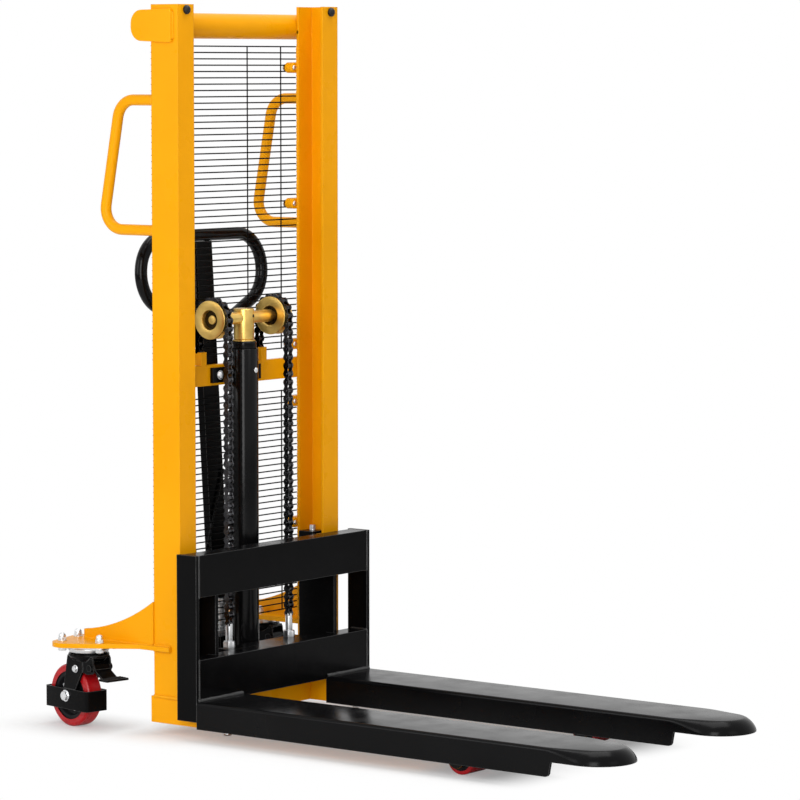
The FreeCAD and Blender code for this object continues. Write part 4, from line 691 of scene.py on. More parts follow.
for side, s in SIDES.items():
    fork, wheel, pedal = f"{side}_caster_fork", f"{side}_caster_wheel", f"{side}_brake_pedal"
    coat(black_coat, pedal)
    hub_place = np.array(joints[f"{side}_caster_spin"]["pos_m"])
    across = unit(np.array(joints[f"{side}_caster_spin"]["axis"], dtype=float))
    ahead = np.array((across[1], -across[0], 0.0))
    swivel = np.array(joints[f"{side}_caster_swivel"]["pos_m"])
    pin_place = np.array(joints[f"{side}_brake_press"]["pos_m"])
    trail = float((hub_place - swivel) @ ahead)
    strap_rim = softened([(-0.042, CROWN_BOTTOM + 0.003), (0.010, CROWN_BOTTOM + 0.003), (0.012, 0.132),
                          (trail + 0.018, 0.062), (trail + 0.006, 0.052), (trail - 0.008, 0.052),
                          (trail - 0.015, 0.062)],
                         [0.004, 0.006, 0.02, 0.006, 0.006, 0.006, 0.008], 6, closed=True)
    strap = plate(strap_rim, STRAP_PLATE, 0.001)
    horn = [swivel + flat[..., :1] * ahead + flat[..., 1:2] * upwards
            + way * (LEG_INSIDE + flat[..., 2:]) * across for way in (-1, 1) for flat in (cheek, strap)]
    horn.append(swivel + bridge[..., :1] * ahead + bridge[..., 1:2] * across
                + (CROWN_BOTTOM + bridge[..., 2:]) * upwards)
    horn.append(lathe(crown, swivel, upwards, 64))
    guard_middle = hub_place - upwards * (GUARD_DROP - GUARD_HEIGHT / 2)
    guard_path = guard_middle + guard_plan[:, :1] * ahead + guard_plan[:, 1:] * across
    make_piece(f"{side}_caster_horn", [*horn, sweep(guard_path, strip, upwards, closed=True)], black_coat,
               "carriage_black", fork, fork)
    bolts = [lathe(bar(-AXLE_HALF, AXLE_HALF, AXLE_RADIUS), hub_place, across, 32)]
    pins = [lathe(bar(-PEDAL_PIN_HALF, PEDAL_PIN_HALF, PEDAL_PIN_RADIUS), pin_place, across, 24)]
    for way in (-1, 1):
        axle_end = hub_place + way * GUARD_HALF_WIDTH * across
        pin_end = pin_place + way * bridge_half * across
        bolts += [washer(0.013, WASHER_THICK, axle_end, way * across),
                  bolt_head(AXLE_FLATS, 0.0075, axle_end, way * across)]
        pins.append(bolt_head(PEDAL_PIN_FLATS, 0.005, pin_end, way * across))
    outwards = across * np.sign(across[0] * s)
    strap_bolt = (swivel + STRAP_BOLT_Z * upwards - STRAP_BOLT_BACK * ahead
                  + (LEG_INSIDE + STRAP_PLATE) * outwards)
    bolts += [washer(0.0085, WASHER_THICK, strap_bolt, outwards),
              bolt_head(STRAP_BOLT_FLATS, 0.0055, strap_bolt, outwards)]
    make_piece(f"{side}_caster_bolts", bolts, zinc, "bright_zinc", fork)
    make_piece(f"{side}_pedal_pin", pins, black_coat, "carriage_black", fork)
    radius = hub_place[2]
    tread = softened(mirrored([(TREAD_HALF, TREAD_SEAT), (TREAD_HALF, radius - TREAD_CHAMFER),
                               (TREAD_HALF - TREAD_CHAMFER, radius)]), 0.003)
    make_piece(f"{side}_caster_tread", [lathe(tread, hub_place, across, 96)], red_tread,
               "red_polyurethane", wheel, f"{side}_caster_tyre")
    rim = np.cos(spokes) * np.cross(across, upwards) + np.sin(spokes) * upwards
    studs = [bolt_head(0.009, 0.004, hub_place + STUD_CIRCLE * spoke + way * HUB_WEB * across, way * across)
             for spoke in rim for way in (-1, 1)]
    make_piece(f"{side}_hub_casting", [lathe(hub, hub_place, across, 72)], dark_core, "wheel_hub", wheel,
               f"{side}_caster_hub")
    make_piece(f"{side}_hub_studs", studs, zinc, "bright_zinc", wheel)
    step = swivel + upwards * (pin_place[2] - STEP_DROP)
    ribs = [sweep([step + ahead * reach - across * RIB_HALF, step + ahead * reach + across * RIB_HALF],
                  ring(RIB_RADIUS, 8), UPWARDS) for reach in RIB_BACKS]
    make_piece(f"{side}_pedal_ribs", ribs, black_coat, "carriage_black", pedal)

# Lift cylinder, its cap and its clamp: drawn tube painted gloss black on the base crossbar, with
# a gold-zinc ring on the cap, and a chromed rod that rises out of it.
gloss_black = powder_coat("gloss_black_paint", deep=(0.0024, 0.0024, 0.0026), full=(0.004, 0.004, 0.0043),
                          edge=(0.06, 0.06, 0.06), gloss=0.14, peel_depth=0.0001, Specular_IOR_Level=0.13)
gold = plated("gold_zinc", deep=(0.66, 0.43, 0.11), full=(0.78, 0.53, 0.16), gloss=0.34)
chrome = plated("chromed_rod", deep=(0.76, 0.77, 0.78), full=(0.84, 0.85, 0.86), gloss=0.10)
coat(gloss_black, "cylinder_clamp")
low, high, middle = span("cylinder_tube")
radius = (high[0] - low[0]) / 2
BARREL_WALL = 0.005
barrel = softened([(low[2], 0), (low[2], radius), (high[2], radius), (high[2], radius - BARREL_WALL),
                   (low[2] + BARREL_WALL, radius - BARREL_WALL)], 0.0012, 3)
foot_line = ring(radius + 0.001, 60) + middle[:2]
foot_ring = weld(np.column_stack([foot_line, np.full(len(foot_line), low[2] + 0.001)]), 0.006, UPWARDS,
                 closed=True)
ram_foot = (middle[0], middle[1], 0.0)
make_piece("lift_cylinder", [lathe(barrel, ram_foot, UPWARDS, 72), foot_ring], gloss_black,
           "carriage_black", "mast_frame", "cylinder_tube")
low, high, middle = span("cylinder_gland")
rod_low, rod_high = span("ram_rod")[:2]
ROD = 0.019
CAP_CHAMFER = 0.003
WIPER_RADIUS = 0.0255
WIPER_RISE = 0.0018
radius = (high[0] - low[0]) / 2
cap = softened([(low[2], ROD + 0.0005), (low[2], radius), (high[2] - CAP_CHAMFER, radius),
                (high[2], radius - CAP_CHAMFER), (high[2], ROD + 0.0005)], 0.001, 3)
make_piece("cylinder_cap", [lathe(cap, ram_foot, UPWARDS, 72)], gloss_black, "carriage_black",
           "mast_frame", "cylinder_gland")
wiper = softened([(high[2] - 0.001, ROD + 0.0008), (high[2] - 0.001, WIPER_RADIUS),
                  (high[2] + WIPER_RISE, WIPER_RADIUS), (high[2] + WIPER_RISE, ROD + 0.0008)], 0.0006, 3)
BLEED_PLUG = (0.003, middle[1] - 0.032, 0.790)
bleed_plug = lathe(dome(0.0062, 0.0026), BLEED_PLUG, (0, -1, 0), 24)
make_piece("cylinder_bleed_plug", [bleed_plug], zinc, "bright_zinc", "mast_frame")
make_piece("cap_wiper_ring", [lathe(wiper, ram_foot, UPWARDS, 64)], gold, "gold_zinc", "mast_frame")
PISTON_HEIGHT = 0.040
piston = (rod_high[0] - rod_low[0]) / 2
ram = [(rod_low[2], 0), (rod_low[2], piston), (rod_low[2] + PISTON_HEIGHT, piston),
       (rod_low[2] + PISTON_HEIGHT, ROD), (rod_high[2], ROD), (rod_high[2], 0)]
make_piece("piston_rod", [lathe(ram, ram_foot, UPWARDS, 64)], chrome, "chrome_rod", "ram", "ram_rod")

# Crosshead and chain pulleys: turned steel in gold zinc. The boss sits on the rod, the shaft
# passes through it, and a flanged pulley turns on each end of the shaft.
low, high, middle = span("crosshead")
boss = (high[0] - low[0]) / 2
boss_profile = softened(bar(low[2], high[2], boss), 0.003)
pulley_low, pulley_high = span("right_pulley")[:2]
_, shaft_high, shaft_middle = span("crosshead_shaft")
SHAFT = 0.014
SHAFT_END = 0.010
END_SET = 0.009
shaft_half = shaft_high[0] - END_SET
shoulder = -pulley_high[0] - 0.0003
shaft = softened(mirrored([(shaft_half, 0), (shaft_half, SHAFT_END), (shoulder, SHAFT_END),
                           (shoulder, SHAFT)]), 0.001, 3)
make_piece("crosshead_boss", [lathe(boss_profile, ram_foot, UPWARDS, 64)], gold, "gold_zinc", "ram",
           "crosshead")
make_piece("pulley_shaft", [lathe(shaft, shaft_middle, (1, 0, 0), 56)], gold, "gold_zinc", "ram",
           "crosshead_shaft")
PIN_HOLE = np.array((0.30, -0.954, 0.0))
cross_pin = lathe([(0, 0), (0, 0.0042), (0.0012, 0.0034), (0.0012, 0)],
                  (0, middle[1], shaft_middle[2] + 0.004) + PIN_HOLE * (boss - 0.0006), PIN_HOLE, 20)
make_piece("crosshead_pin", [cross_pin], dark_core, "wheel_hub", "ram")
RECESS = 0.021
RECESS_DEPTH = 0.011
FLANGE = 0.004
GROOVE = 0.034
half, rim = (pulley_high[0] - pulley_low[0]) / 2, (pulley_high[2] - pulley_low[2]) / 2
recess_floor = half - RECESS_DEPTH
sheave = softened(mirrored([(recess_floor, SHAFT_END + 0.0004), (recess_floor, RECESS),
                            (half, RECESS + 0.001), (half, rim), (half - FLANGE, rim),
                            (half - FLANGE - 0.001, GROOVE)]), 0.0009, 3)
bush_end = recess_floor + 0.001
bush = mirrored([(bush_end, SHAFT_END + 0.0002), (bush_end, RECESS - 0.0005)])
# The bush at the recess floor is near black: painted shade in the deep recess of the gold pulley.
recess_shade = plated("oiled_bronze", deep=(0.020, 0.013, 0.005), full=(0.040, 0.026, 0.010), gloss=0.45)
for side in SIDES:
    node = f"{side}_pulley"
    centre = np.array(joints[f"{side}_pulley_spin"]["pos_m"])
    make_piece(f"{side}_chain_pulley", [lathe(sheave, centre, (1, 0, 0), 72)], gold, "gold_zinc", node, node)
    make_piece(f"{side}_pulley_bush", [lathe(bush, centre, (1, 0, 0), 40)], recess_shade, "gold_zinc", node)

# Fork carriage: two box beams welded between side plates, with roller plates that run inside the
# columns, all in black powder coat. Guide rollers turn on the plates' pins.
coat(black_coat, "upper_carriage_beam", "lower_carriage_beam", "carriage_side_plates", "roller_plates",
     "chain_anchor_plate")
upper_low, upper_high = span("upper_carriage_beam")[:2]
lower_low, lower_high = span("lower_carriage_beam")[:2]
CARRIAGE_WELD = 0.005
TOP_WELD = 0.003
# The weld black is lighter than the coat, with a bright edge colour: painted glints on the weld ripples.
weld_black = powder_coat("black_weld_coat", deep=(0.006, 0.006, 0.006), full=(0.02, 0.02, 0.02),
                         edge=(0.2, 0.2, 0.2), gloss=0.20, peel_depth=0.0010, Specular_IOR_Level=0.35)
seams = []
for s in SIDES.values():
    seat = s * upper_high[0]
    for beam_low, beam_high in ((upper_low, upper_high), (lower_low, lower_high)):
        face = beam_low[1] + 0.0005
        seams.append(weld([(seat, face, beam_low[2]), (seat, face, beam_high[2])], CARRIAGE_WELD, (0, 1, 0)))
    for beam_low, beam_high, level, width in ((upper_low, upper_high, upper_low[2], CARRIAGE_WELD),
                                              (lower_low, lower_high, lower_high[2], CARRIAGE_WELD),
                                              (upper_low, upper_high, upper_high[2] - 0.001, TOP_WELD)):
        seams.append(weld([(seat, beam_low[1], level), (seat, beam_high[1], level)], width, UPWARDS))
make_piece("carriage_welds", seams, weld_black, "carriage_black", "carriage")
GUIDE_BORE = 0.0101
for side in SIDES:
    for level in ("lower", "upper"):
        node = f"{side}_{level}_guide_roller"
        low, high, middle = span(node)
        half, radius = (high[0] - low[0]) / 2, (high[2] - low[2]) / 2
        guide = softened(mirrored([(half, GUIDE_BORE), (half, 0.022), (half - 0.002, 0.0235), (half, 0.025),
                                   (half, radius)]), 0.0006, 3)
        make_piece(f"{node}_bearing", [lathe(guide, middle, (1, 0, 0), 56)], zinc, "bright_zinc", node, node)

# Chain anchors and stop bolts of the carriage: threaded zinc anchors through the plate behind the
# lower beam, and a hexagon bolt with a washer on the tab of each roller plate.
thread_bottom = span("carriage_fasteners")[0][2]
plate_low, plate_high = span("chain_anchor_plate")[:2]
tab_top = span("roller_plates")[1][2]
strand_low, strand_high, strand_middle = span("front_chain_strands")
ANCHOR_THREAD = 0.006
ANCHOR_HEAD = 0.008
ANCHOR_FLATS = 0.024
ANCHOR_NUT = 0.014
LOCK_NUT = 0.009
THREAD_ROWS = 37
THREAD_DEPTH = 0.0006
thread_heights = np.linspace(thread_bottom, plate_low[2], THREAD_ROWS)
thread = np.column_stack([thread_heights, ANCHOR_THREAD - THREAD_DEPTH * (np.arange(THREAD_ROWS) % 2)])
neck = softened(bar(plate_high[2] + ANCHOR_NUT, strand_low[2], ANCHOR_HEAD), 0.0015)
TAB_BOLT_X = 0.232
TAB_BOLT_FLATS = 0.013
anchors = []
for s in SIDES.values():
    foot = (s * (strand_high[0] - 0.008), strand_middle[1], 0.0)
    anchors += [lathe(np.vstack([[(thread_bottom, 0)], thread]), foot, UPWARDS, 24),
                bolt_head(ANCHOR_FLATS, ANCHOR_NUT, (*foot[:2], plate_high[2]), UPWARDS),
                bolt_head(ANCHOR_FLATS, LOCK_NUT, (*foot[:2], plate_low[2]), (0, 0, -1)),
                lathe(neck, foot, UPWARDS, 32)]
    tab = (s * TAB_BOLT_X, joints["right_upper_guide_roller_spin"]["pos_m"][1], tab_top)
    anchors += [washer(0.008, 0.002, tab, UPWARDS), bolt_head(TAB_BOLT_FLATS, 0.012, tab, UPWARDS)]
make_piece("carriage_bolts", anchors, zinc, "bright_zinc", "carriage", "carriage_fasteners")

# Forks: inverted channels of bent plate with a rounded spoon tip, welded to the face of the lower
# beam and painted with the carriage. The bent edges are round, and the tip's rim slopes outwards.
FORK_WALL = 0.006
FORK_ROUND = 0.008
WALL_CORNER = 0.010
WALL_REACH = 0.258
WALL_END = load_axle_y - WALL_REACH
FLARE_START = WALL_END + 0.020
FLARE_LENGTH = 0.105
TIP_BOTTOM = 0.061
TIP_RUN = 0.026
TIP_SLOPE = 0.36
# The light grey edge colour is mostly a painted highlight along the bent edges, partly worn film.
fork_black = powder_coat("fork_black_coat", deep=(0.0018, 0.0018, 0.0020), full=(0.0034, 0.0034, 0.0036),
                         edge=(0.20, 0.20, 0.20), gloss=0.20, peel_depth=0.0001, Specular_IOR_Level=0.09)


def fork_shell(low, high):
    """A fork as bent plate. One parameter runs along the rim in plan: down one side, round the half
    circle of the nose and back up the other side, the rim stepping up at the end of each wall. The
    other climbs the section: straight up the wall, over a bend and in to the middle line. The bend is
    a tight quarter circle along the walls. Round the nose it grows to a wide slope, as the powers of
    its sine and cosine rise."""
    half, nose, top = (high[0] - low[0]) / 2, low[1] + (high[0] - low[0]) / 2, high[2]
    corner = np.linspace(0, np.pi / 2, 9)
    wall_y = np.linspace(high[1], WALL_END + 0.03, 24)
    corner_y = WALL_END + 0.002 + WALL_CORNER * (1 - np.sin(corner))
    tip_y = np.append(WALL_END - 0.002, np.linspace(WALL_END - 0.006, nose, 20)[:-1])
    side_y = np.concatenate([wall_y, corner_y, tip_y])
    side_z = np.concatenate([np.full(len(wall_y), low[2]), low[2] + WALL_CORNER * (1 - np.cos(corner)),
                             np.full(len(tip_y), TIP_BOTTOM)])
    turn = np.linspace(0, np.pi, 61)
    sides = np.full(len(side_y), half)
    plan = np.column_stack([np.concatenate([sides, half * np.cos(turn), -sides]),
                            np.concatenate([side_y, nose - half * np.sin(turn), side_y[::-1]])])
    rim = np.concatenate([side_z, np.full(len(turn), TIP_BOTTOM), side_z[::-1]])
    inward = np.vstack([np.tile((-1.0, 0.0), (len(side_y), 1)),
                        np.column_stack([-np.cos(turn), np.sin(turn)]),
                        np.tile((1.0, 0.0), (len(side_y), 1))])
    grown = np.clip((FLARE_START - plan[:, 1]) / FLARE_LENGTH, 0, 1)
    grown = grown * grown * (3 - 2 * grown)
    lift = np.linspace(0, np.pi / 2, 14)[:, None]
    power = 1 + TIP_SLOPE * grown
    bend_in, bend_up = (1 - np.abs(turned) ** power for turned in (np.cos(lift), np.sin(lift)))
    spine = np.column_stack([np.zeros(len(plan)), np.clip(plan[:, 1], nose, None)])

    def skin(depth):
        run = FORK_ROUND + grown * (TIP_RUN - FORK_ROUND) - 0.7 * depth
        drop = FORK_ROUND + grown * (top - TIP_BOTTOM - 0.002 - FORK_ROUND) - 0.7 * depth
        inset = np.vstack([np.full(len(plan), depth), depth + run * bend_in])
        level = np.vstack([rim, top - depth - drop * bend_up])
        spots = np.concatenate([plan + inset[..., None] * inward, spine[None]])
        level = np.vstack([level, np.full(len(plan), top - depth)])
        return np.concatenate([spots, level[..., None]], axis=-1) + ((low[0] + high[0]) / 2, 0, 0)

    outer, inner = skin(0.0), skin(FORK_WALL)
    return [outer, inner, np.stack([outer[0], inner[0]]), np.stack([outer[:, 0], inner[:, 0]]),
            np.stack([outer[:, -1], inner[:, -1]])]


FORK_WELD = 0.009
fork_seams = []
for side in SIDES:
    node = f"{side}_fork"
    low, high = span(node)[:2]
    make_piece(f"{side}_fork_blade", fork_shell(low, high), fork_black, "carriage_black", "carriage", node,
               crease=50)
    fork_seams.append(weld([(x, lower_low[1], high[2] + 0.0005) for x in (low[0] + 0.004, high[0] - 0.004)],
                           FORK_WELD, UPWARDS))
make_piece("fork_welds", fork_seams, weld_black, "carriage_black", "carriage")

# Lift chains: steel roller chain, dark and oiled, of side plates, rollers and riveted pins. A front
# strand hangs the carriage, bends over the pulley and comes down to the lug on the middle beam.
chain_steel = plated("oiled_chain_steel", deep=(0.030, 0.030, 0.033), full=(0.085, 0.085, 0.09), gloss=0.21,
                     grain_scale=500.0)
rear_low, _, rear_middle = span("rear_chain_strands")
FRONT_LINKS = 6
FRONT_RUNS = 5
REAR_LINKS = 4
REAR_RUNS = 8
pulley_axis = np.array(joints["right_pulley_spin"]["pos_m"])
CHAIN_PITCH = (strand_high[2] - strand_low[2]) / (FRONT_LINKS * (1 + FRONT_RUNS))
LINK_RADIUS = 0.0079
LINK_WAIST = 0.0043
LINK_PLATE = 0.0018
INNER_PLATE_X = 0.0050
ROLLER_RADIUS = 0.0058
PIN_RADIUS = 0.0030
PIN_END = 0.0094


def chain_links(pins, ahead, first):
    """Links from each pin to the next: a pair of waisted plates (half circles about the pins, joined by
    edges that draw in along a cosine), set wider on every second link, with a roller and a riveted pin."""
    out = np.cross(ahead, (1.0, 0.0, 0.0))
    turn = np.linspace(-np.pi / 2, np.pi / 2, 6)
    along = np.linspace(CHAIN_PITCH, 0, 7)[1:-1]
    waist = LINK_WAIST + (LINK_RADIUS - LINK_WAIST) * np.cos(np.pi * along / CHAIN_PITCH) ** 2
    round_end = np.column_stack([CHAIN_PITCH + LINK_RADIUS * np.cos(turn), LINK_RADIUS * np.sin(turn)])
    upper = np.vstack([round_end, np.column_stack([along, waist])])
    outline = np.vstack([upper, (CHAIN_PITCH, 0) - upper, upper[:1]])
    side_plate = plate(outline, LINK_PLATE, 0.0)[[0, 1, 4, 5]]
    wide = INNER_PLATE_X + (LINK_PLATE + 0.0002) * ((first + np.arange(len(pins))) % 2)
    flat = (side_plate[None, ..., :1] * ahead[:, None, None] + side_plate[None, ..., 1:2] * out[:, None, None]
            + pins[:, None, None])
    level = wide[:, None, None, None] + side_plate[None, ..., 2:]
    cross = np.array((1.0, 0.0, 0.0))
    roller = lathe(bar(-INNER_PLATE_X, INNER_PLATE_X, ROLLER_RADIUS), (0, 0, 0), cross, 12)
    pin = lathe(bar(-PIN_END, PIN_END, PIN_RADIUS), (0, 0, 0), cross, 8)
    return [flat + level * cross, flat - level * cross, pins[:, None, None] + roller,
            pins[:, None, None] + pin]


def both_strands(links):
    """The same links on the right and the left chain."""
    return [links_of + (s * abs(pulley_axis[0]), 0, 0) for links_of in links for s in SIDES.values()]


def straight_run(foot, first, count):
    """Links of a strand above its foot, upwards from the first of them."""
    heights = foot[1] + CHAIN_PITCH * (first + np.arange(count))
    pins = np.column_stack([np.zeros(count), np.full(count, foot[0]), heights])
    return both_strands(chain_links(pins, np.tile((0.0, 0.0, 1.0), (count, 1)), first))


def chain_piece(name, links, body, *replaced):
    """A run of both chains."""
    return make_piece(name, links, chain_steel, "chain_steel", body, *replaced)


front_foot = (strand_middle[1], strand_low[2])
rear_foot = (rear_middle[1], rear_low[2])
chain_piece("front_chain_foot", straight_run(front_foot, 0, FRONT_LINKS), "carriage", "front_chain_strands")
for run in range(1, FRONT_RUNS + 1):
    links = straight_run(front_foot, FRONT_LINKS * run, FRONT_LINKS)
    piece = chain_piece(f"front_chain_run_{run}", links, "carriage")
    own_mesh(piece)
arc_radius = pulley_axis[1] - strand_middle[1]
arc_steps = round(np.pi * arc_radius / CHAIN_PITCH)
angle = np.pi - np.pi * np.arange(arc_steps) / arc_steps
arc_pins, next_pins = (np.column_stack([np.zeros(arc_steps), pulley_axis[1] + arc_radius * np.cos(turned),
                                        pulley_axis[2] + arc_radius * np.sin(turned)])
                       for turned in (angle, angle - np.pi / arc_steps))
chain_piece("chain_half_turn", both_strands(chain_links(arc_pins, unit(next_pins - arc_pins), 0)), "ram",
            "chain_arcs")
chain_piece("rear_chain_foot", straight_run(rear_foot, 0, REAR_LINKS), "mast_frame", "rear_chain_strands")
for run in range(1, REAR_RUNS + 1):
    piece = chain_piece(f"rear_chain_run_{run}", straight_run(rear_foot, 0, REAR_LINKS), None)
    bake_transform(piece)

# Hand pump: a black cast block on the crossbar with its plugs, a bright plunger with a return
# spring round it, and the bracket that carries the tiller's pin.
coat(black_coat, "pump_block", "tiller_bracket")
low, high, middle = span("pump_block")
PLUG_FLATS = 0.019
PLUG_RISE = 0.035
REAR_PLUG_RISE = 0.045
SCREW_X = 0.033
SCREW_Z = 0.058
plugs = [bolt_head(PLUG_FLATS, 0.008, (x, middle[1], low[2] + PLUG_RISE), (np.sign(x), 0, 0))
         for x in (low[0], high[0])]
plugs.append(bolt_head(0.024, 0.010, (middle[0], high[1], low[2] + REAR_PLUG_RISE), (0, 1, 0)))
plugs += [lathe(dome(0.006, 0.005), (x, high[1], middle[2] + z), (0, 1, 0), 20)
          for x in (-SCREW_X, SCREW_X) for z in (-SCREW_Z, SCREW_Z)]
make_piece("pump_plugs", plugs, black_coat, "carriage_black", "mast_frame")
bracket_side = span("tiller_bracket")[1][0]
pivot = np.array(joints["tiller_pump"]["pos_m"])
pin_heads = [bolt_head(PLUG_FLATS, 0.006, (s * bracket_side, pivot[1], pivot[2]), (s, 0, 0))
             for s in SIDES.values()]
low, high, middle = span("pump_plunger")
COLLAR_HEIGHT = 0.012
PLUNGER = 0.009
collar, collar_bottom = (high[0] - low[0]) / 2, high[2] - COLLAR_HEIGHT
plunger = softened([(low[2], 0), (low[2], PLUNGER), (collar_bottom, PLUNGER), (collar_bottom, collar),
                    (high[2], collar), (high[2], 0)], 0.001, 3)
make_piece("plunger_rod", [lathe(plunger, (middle[0], middle[1], 0), UPWARDS, 48)], zinc, "bright_zinc",
           "pump_plunger", "pump_plunger")
spring_low, spring_high, spring_middle = span("pump_spring")
SPRING_TURNS = 8
SPRING_WIRE = 0.00175
turn = np.linspace(0, 2 * np.pi * SPRING_TURNS, SPRING_TURNS * 36 + 1)
coil_radius = (spring_high[0] - spring_low[0]) / 2 - SPRING_WIRE
coil = np.column_stack([spring_middle[0] + coil_radius * np.cos(turn),
                        spring_middle[1] + coil_radius * np.sin(turn),
                        np.linspace(spring_low[2] + SPRING_WIRE, spring_high[2] - SPRING_WIRE, len(turn))])
spring = make_piece("plunger_spring", [sweep(coil, ring(SPRING_WIRE, 10), UPWARDS)], zinc, "bright_zinc",
                    None, "pump_spring")
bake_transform(spring)

# Tiller: a black folded channel stem on a heel, a bent-tube loop welded to its top, a slim
# lowering lever pinned beside it, and the rod that runs from the lever down the stem.
coat(black_coat, "tiller_stem")
TILLER_LEAN = math.radians(3.4)
STEM_SET = 0.024
LOOP_TUBE = 0.014
LOOP_HALF = 0.209
LOOP_TOP = 0.803
LOOP_SHOULDER = 0.672
LOOP_BOTTOM = 0.612
LOOP_KNEE = 0.089
LOOP_BEND = 0.080


def on_tiller(spots):
    """Places given across, back and up along the leaning tiller, turned into the frame about its pin."""
    x, back, up = np.moveaxis(np.asarray(spots, dtype=float), -1, 0)
    return np.stack([x, pivot[1] + back * math.cos(TILLER_LEAN) + up * math.sin(TILLER_LEAN),
                     pivot[2] - back * math.sin(TILLER_LEAN) + up * math.cos(TILLER_LEAN)], axis=-1)


half_loop = softened([(0.0, -STEM_SET, LOOP_BOTTOM), (-LOOP_KNEE, -STEM_SET, LOOP_BOTTOM),
                      (-LOOP_HALF, -STEM_SET, LOOP_SHOULDER), (-LOOP_HALF, -STEM_SET, LOOP_TOP),
                      (0.0, -STEM_SET, LOOP_TOP)], LOOP_BEND, 14)
other_half = np.flip(half_loop, axis=0)[1:] * (-1, 1, 1)
loop_line = on_tiller(np.vstack([half_loop, other_half]))
facing = on_tiller((0, 1, 0)) - on_tiller((0, 0, 0))
make_piece("tiller_loop_tube", [sweep(loop_line, ring(LOOP_TUBE, 28), facing, closed=True)], gloss_black,
           "carriage_black", "tiller", "tiller_loop")
make_piece("tiller_pin_heads", pin_heads, zinc, "bright_zinc", "mast_frame")
lever_paint = powder_coat("lever_paint", deep=(0.035, 0.035, 0.037), full=(0.05, 0.05, 0.053),
                          edge=(0.14, 0.14, 0.14), gloss=0.38, Specular_IOR_Level=0.25)
LEVER_HALF = 0.008
LEVER_FOOT = 0.655
LEVER_HEAD = 0.778
LEVER_INSIDE = 0.032
LEVER_THICK = 0.006
lever_rim = softened([(-STEM_SET - LEVER_HALF, LEVER_FOOT), (-STEM_SET + LEVER_HALF, LEVER_FOOT),
                      (-STEM_SET + LEVER_HALF, LEVER_HEAD), (-STEM_SET - LEVER_HALF, LEVER_HEAD)],
                     LEVER_HALF * 0.95, 8, closed=True)
lever = plate(lever_rim, LEVER_THICK, 0.001)
lever_sheet = on_tiller(np.stack([-LEVER_INSIDE - lever[..., 2], lever[..., 0], lever[..., 1]], axis=-1))
make_piece("lowering_lever", [lever_sheet], lever_paint, "grey_paint", "release_lever", "release_lever")
ROD_BACK = -STEM_SET - 0.013
ROD_ENDS = [(0.0216, ROD_BACK, 0.268), (-0.0450, ROD_BACK, 0.105)]
ROD_WIRE = 0.0028
lowering_rod = sweep(on_tiller(ROD_ENDS), ring(ROD_WIRE, 12), facing)
rod_eyes = [lathe(dome(0.006, 0.004), on_tiller(end), -facing, 16) for end in ROD_ENDS]
make_piece("lowering_rod", [lowering_rod, *rod_eyes], black_coat, "carriage_black", "tiller")

# Studio: a plain white floor under soft boxes, a white surround, and the camera at the height and
# angle of a catalogue view.


def soft_box(name, place, target, size, power):
    """An area lamp turned to face a target."""
    lamp = bpy.data.lights.new(name, "AREA")
    lamp.shape = "RECTANGLE"
    lamp.size, lamp.size_y = size
    lamp.energy = power
    box = bpy.data.objects.new(name, lamp)
    bpy.context.scene.collection.objects.link(box)
    box.location = place
    box.rotation_euler = (Vector(target) - Vector(place)).to_track_quat("-Z", "Y").to_euler()


floor_mesh = bpy.data.meshes.new("studio_floor")
FLOOR_HALF = 60.0
floor_corners = np.column_stack([oblong(FLOOR_HALF, FLOOR_HALF), np.zeros(4)])
floor_mesh.from_pydata(floor_corners.tolist(), [], [(0, 1, 2, 3)])
studio_floor = bpy.data.objects.new("studio_floor", floor_mesh)
bpy.context.scene.collection.objects.link(studio_floor)
floor_finish, floor_shader, add, fill = new_finish("white_floor", Roughness=0.9, Specular_IOR_Level=0.1)
spot = add("TexCoord", {}).outputs["Object"]
grain = noise(add, spot, 3.0, 3.0)
fill(floor_shader, {"Base Color": ramp(add, grain, (0.3, (0.92, 0.92, 0.92)), (0.7, (0.94, 0.94, 0.94)))})


def clear_of(low, high):
    """Distance on the floor from a box: how far each coordinate lies outside it, as a length."""
    middle, half = (high + low) / 2 * (1, 1, 0), (high - low) / 2 * (1, 1, 0)
    beyond = spot
    for operation, *other in (("SUBTRACT", tuple(middle)), ("ABSOLUTE",), ("SUBTRACT", tuple(half)),
                              ("MAXIMUM", (0.0, 0.0, 0.0))):
        beyond = add("VectorMath", dict(enumerate([beyond, *other])), operation=operation).outputs["Vector"]
    return add("VectorMath", {0: beyond}, operation="LENGTH").outputs["Value"]


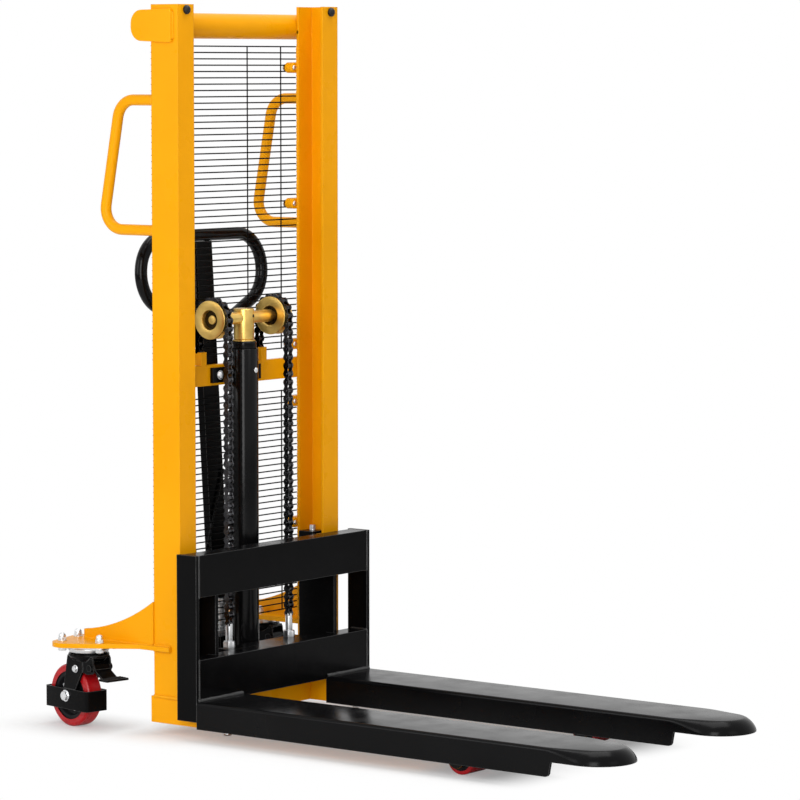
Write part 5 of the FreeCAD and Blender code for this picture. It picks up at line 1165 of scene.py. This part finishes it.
away = clear_of(span("right_leg")[0], span("left_leg")[1])
for node in ("right_caster_tyre", "left_caster_tyre"):
    near_wheel = clear_of(*span(node)[:2])
    away = worked_out(add, "MINIMUM", away, near_wheel)
seen = add("LightPath", {})
far_floor = add("MapRange", {"Value": away, "From Min": -0.02, "From Max": 0.16, "To Min": 0.25,
                             "To Max": 1.0}, interpolation_type="SMOOTHSTEP").outputs["Result"]
direct = worked_out(add, "MULTIPLY", seen.outputs["Is Camera Ray"], far_floor)
white = add("Emission", {"Color": (1.0, 1.0, 1.0, 1.0), "Strength": 1.0})
mixed = add("MixShader", {0: direct, 1: floor_shader.outputs["BSDF"], 2: white.outputs["Emission"]})
fill(floor_finish.node_tree.nodes["Material Output"], {"Surface": mixed.outputs["Shader"]})
floor_mesh.materials.append(floor_finish)

world = bpy.data.worlds.new("white_surround")
bpy.context.scene.world = world
world.use_nodes = True
add, fill = node_tools(world.node_tree)
ray = add("LightPath", {}).outputs
seen_white = worked_out(add, "MAXIMUM", ray["Is Camera Ray"], ray["Is Glossy Ray"])
seen_through = worked_out(add, "MAXIMUM", seen_white, ray["Is Transmission Ray"])
DIM_SURROUND = 0.33
strength = add("MapRange", {"Value": seen_through, "To Min": DIM_SURROUND, "To Max": 1.0})
fill(world.node_tree.nodes["Background"], {"Color": (1.0, 1.0, 1.0, 1.0),
                                           "Strength": strength.outputs["Result"]})

soft_box("key_box", (-4.55, -2.3, 2.2), (0.0, 0.2, 0.7), (2.0, 4.0), 174)
soft_box("left_box", (-4.0, 2.2, 2.2), (0.0, 0.3, 0.8), (1.6, 2.4), 42)
soft_box("front_box", (-0.4, -4.8, 2.6), (0.0, 0.0, 0.6), (2.0, 2.2), 12)
soft_box("top_box", (0.4, -0.2, 4.4), (0.0, 0.1, 0.0), (3.0, 3.0), 105)

lens = bpy.data.cameras.new("catalogue_camera")
lens.lens = 174.308
lens.sensor_width = 36.0
camera = bpy.data.objects.new("catalogue_camera", lens)
bpy.context.scene.collection.objects.link(camera)
camera.location = (-6.648641, -5.090114, 1.465141)
camera.rotation_euler = (math.radians(85.082), 0.0, math.radians(-52.579))
bpy.context.scene.camera = camera
bpy.context.scene.view_settings.view_transform = "Standard"
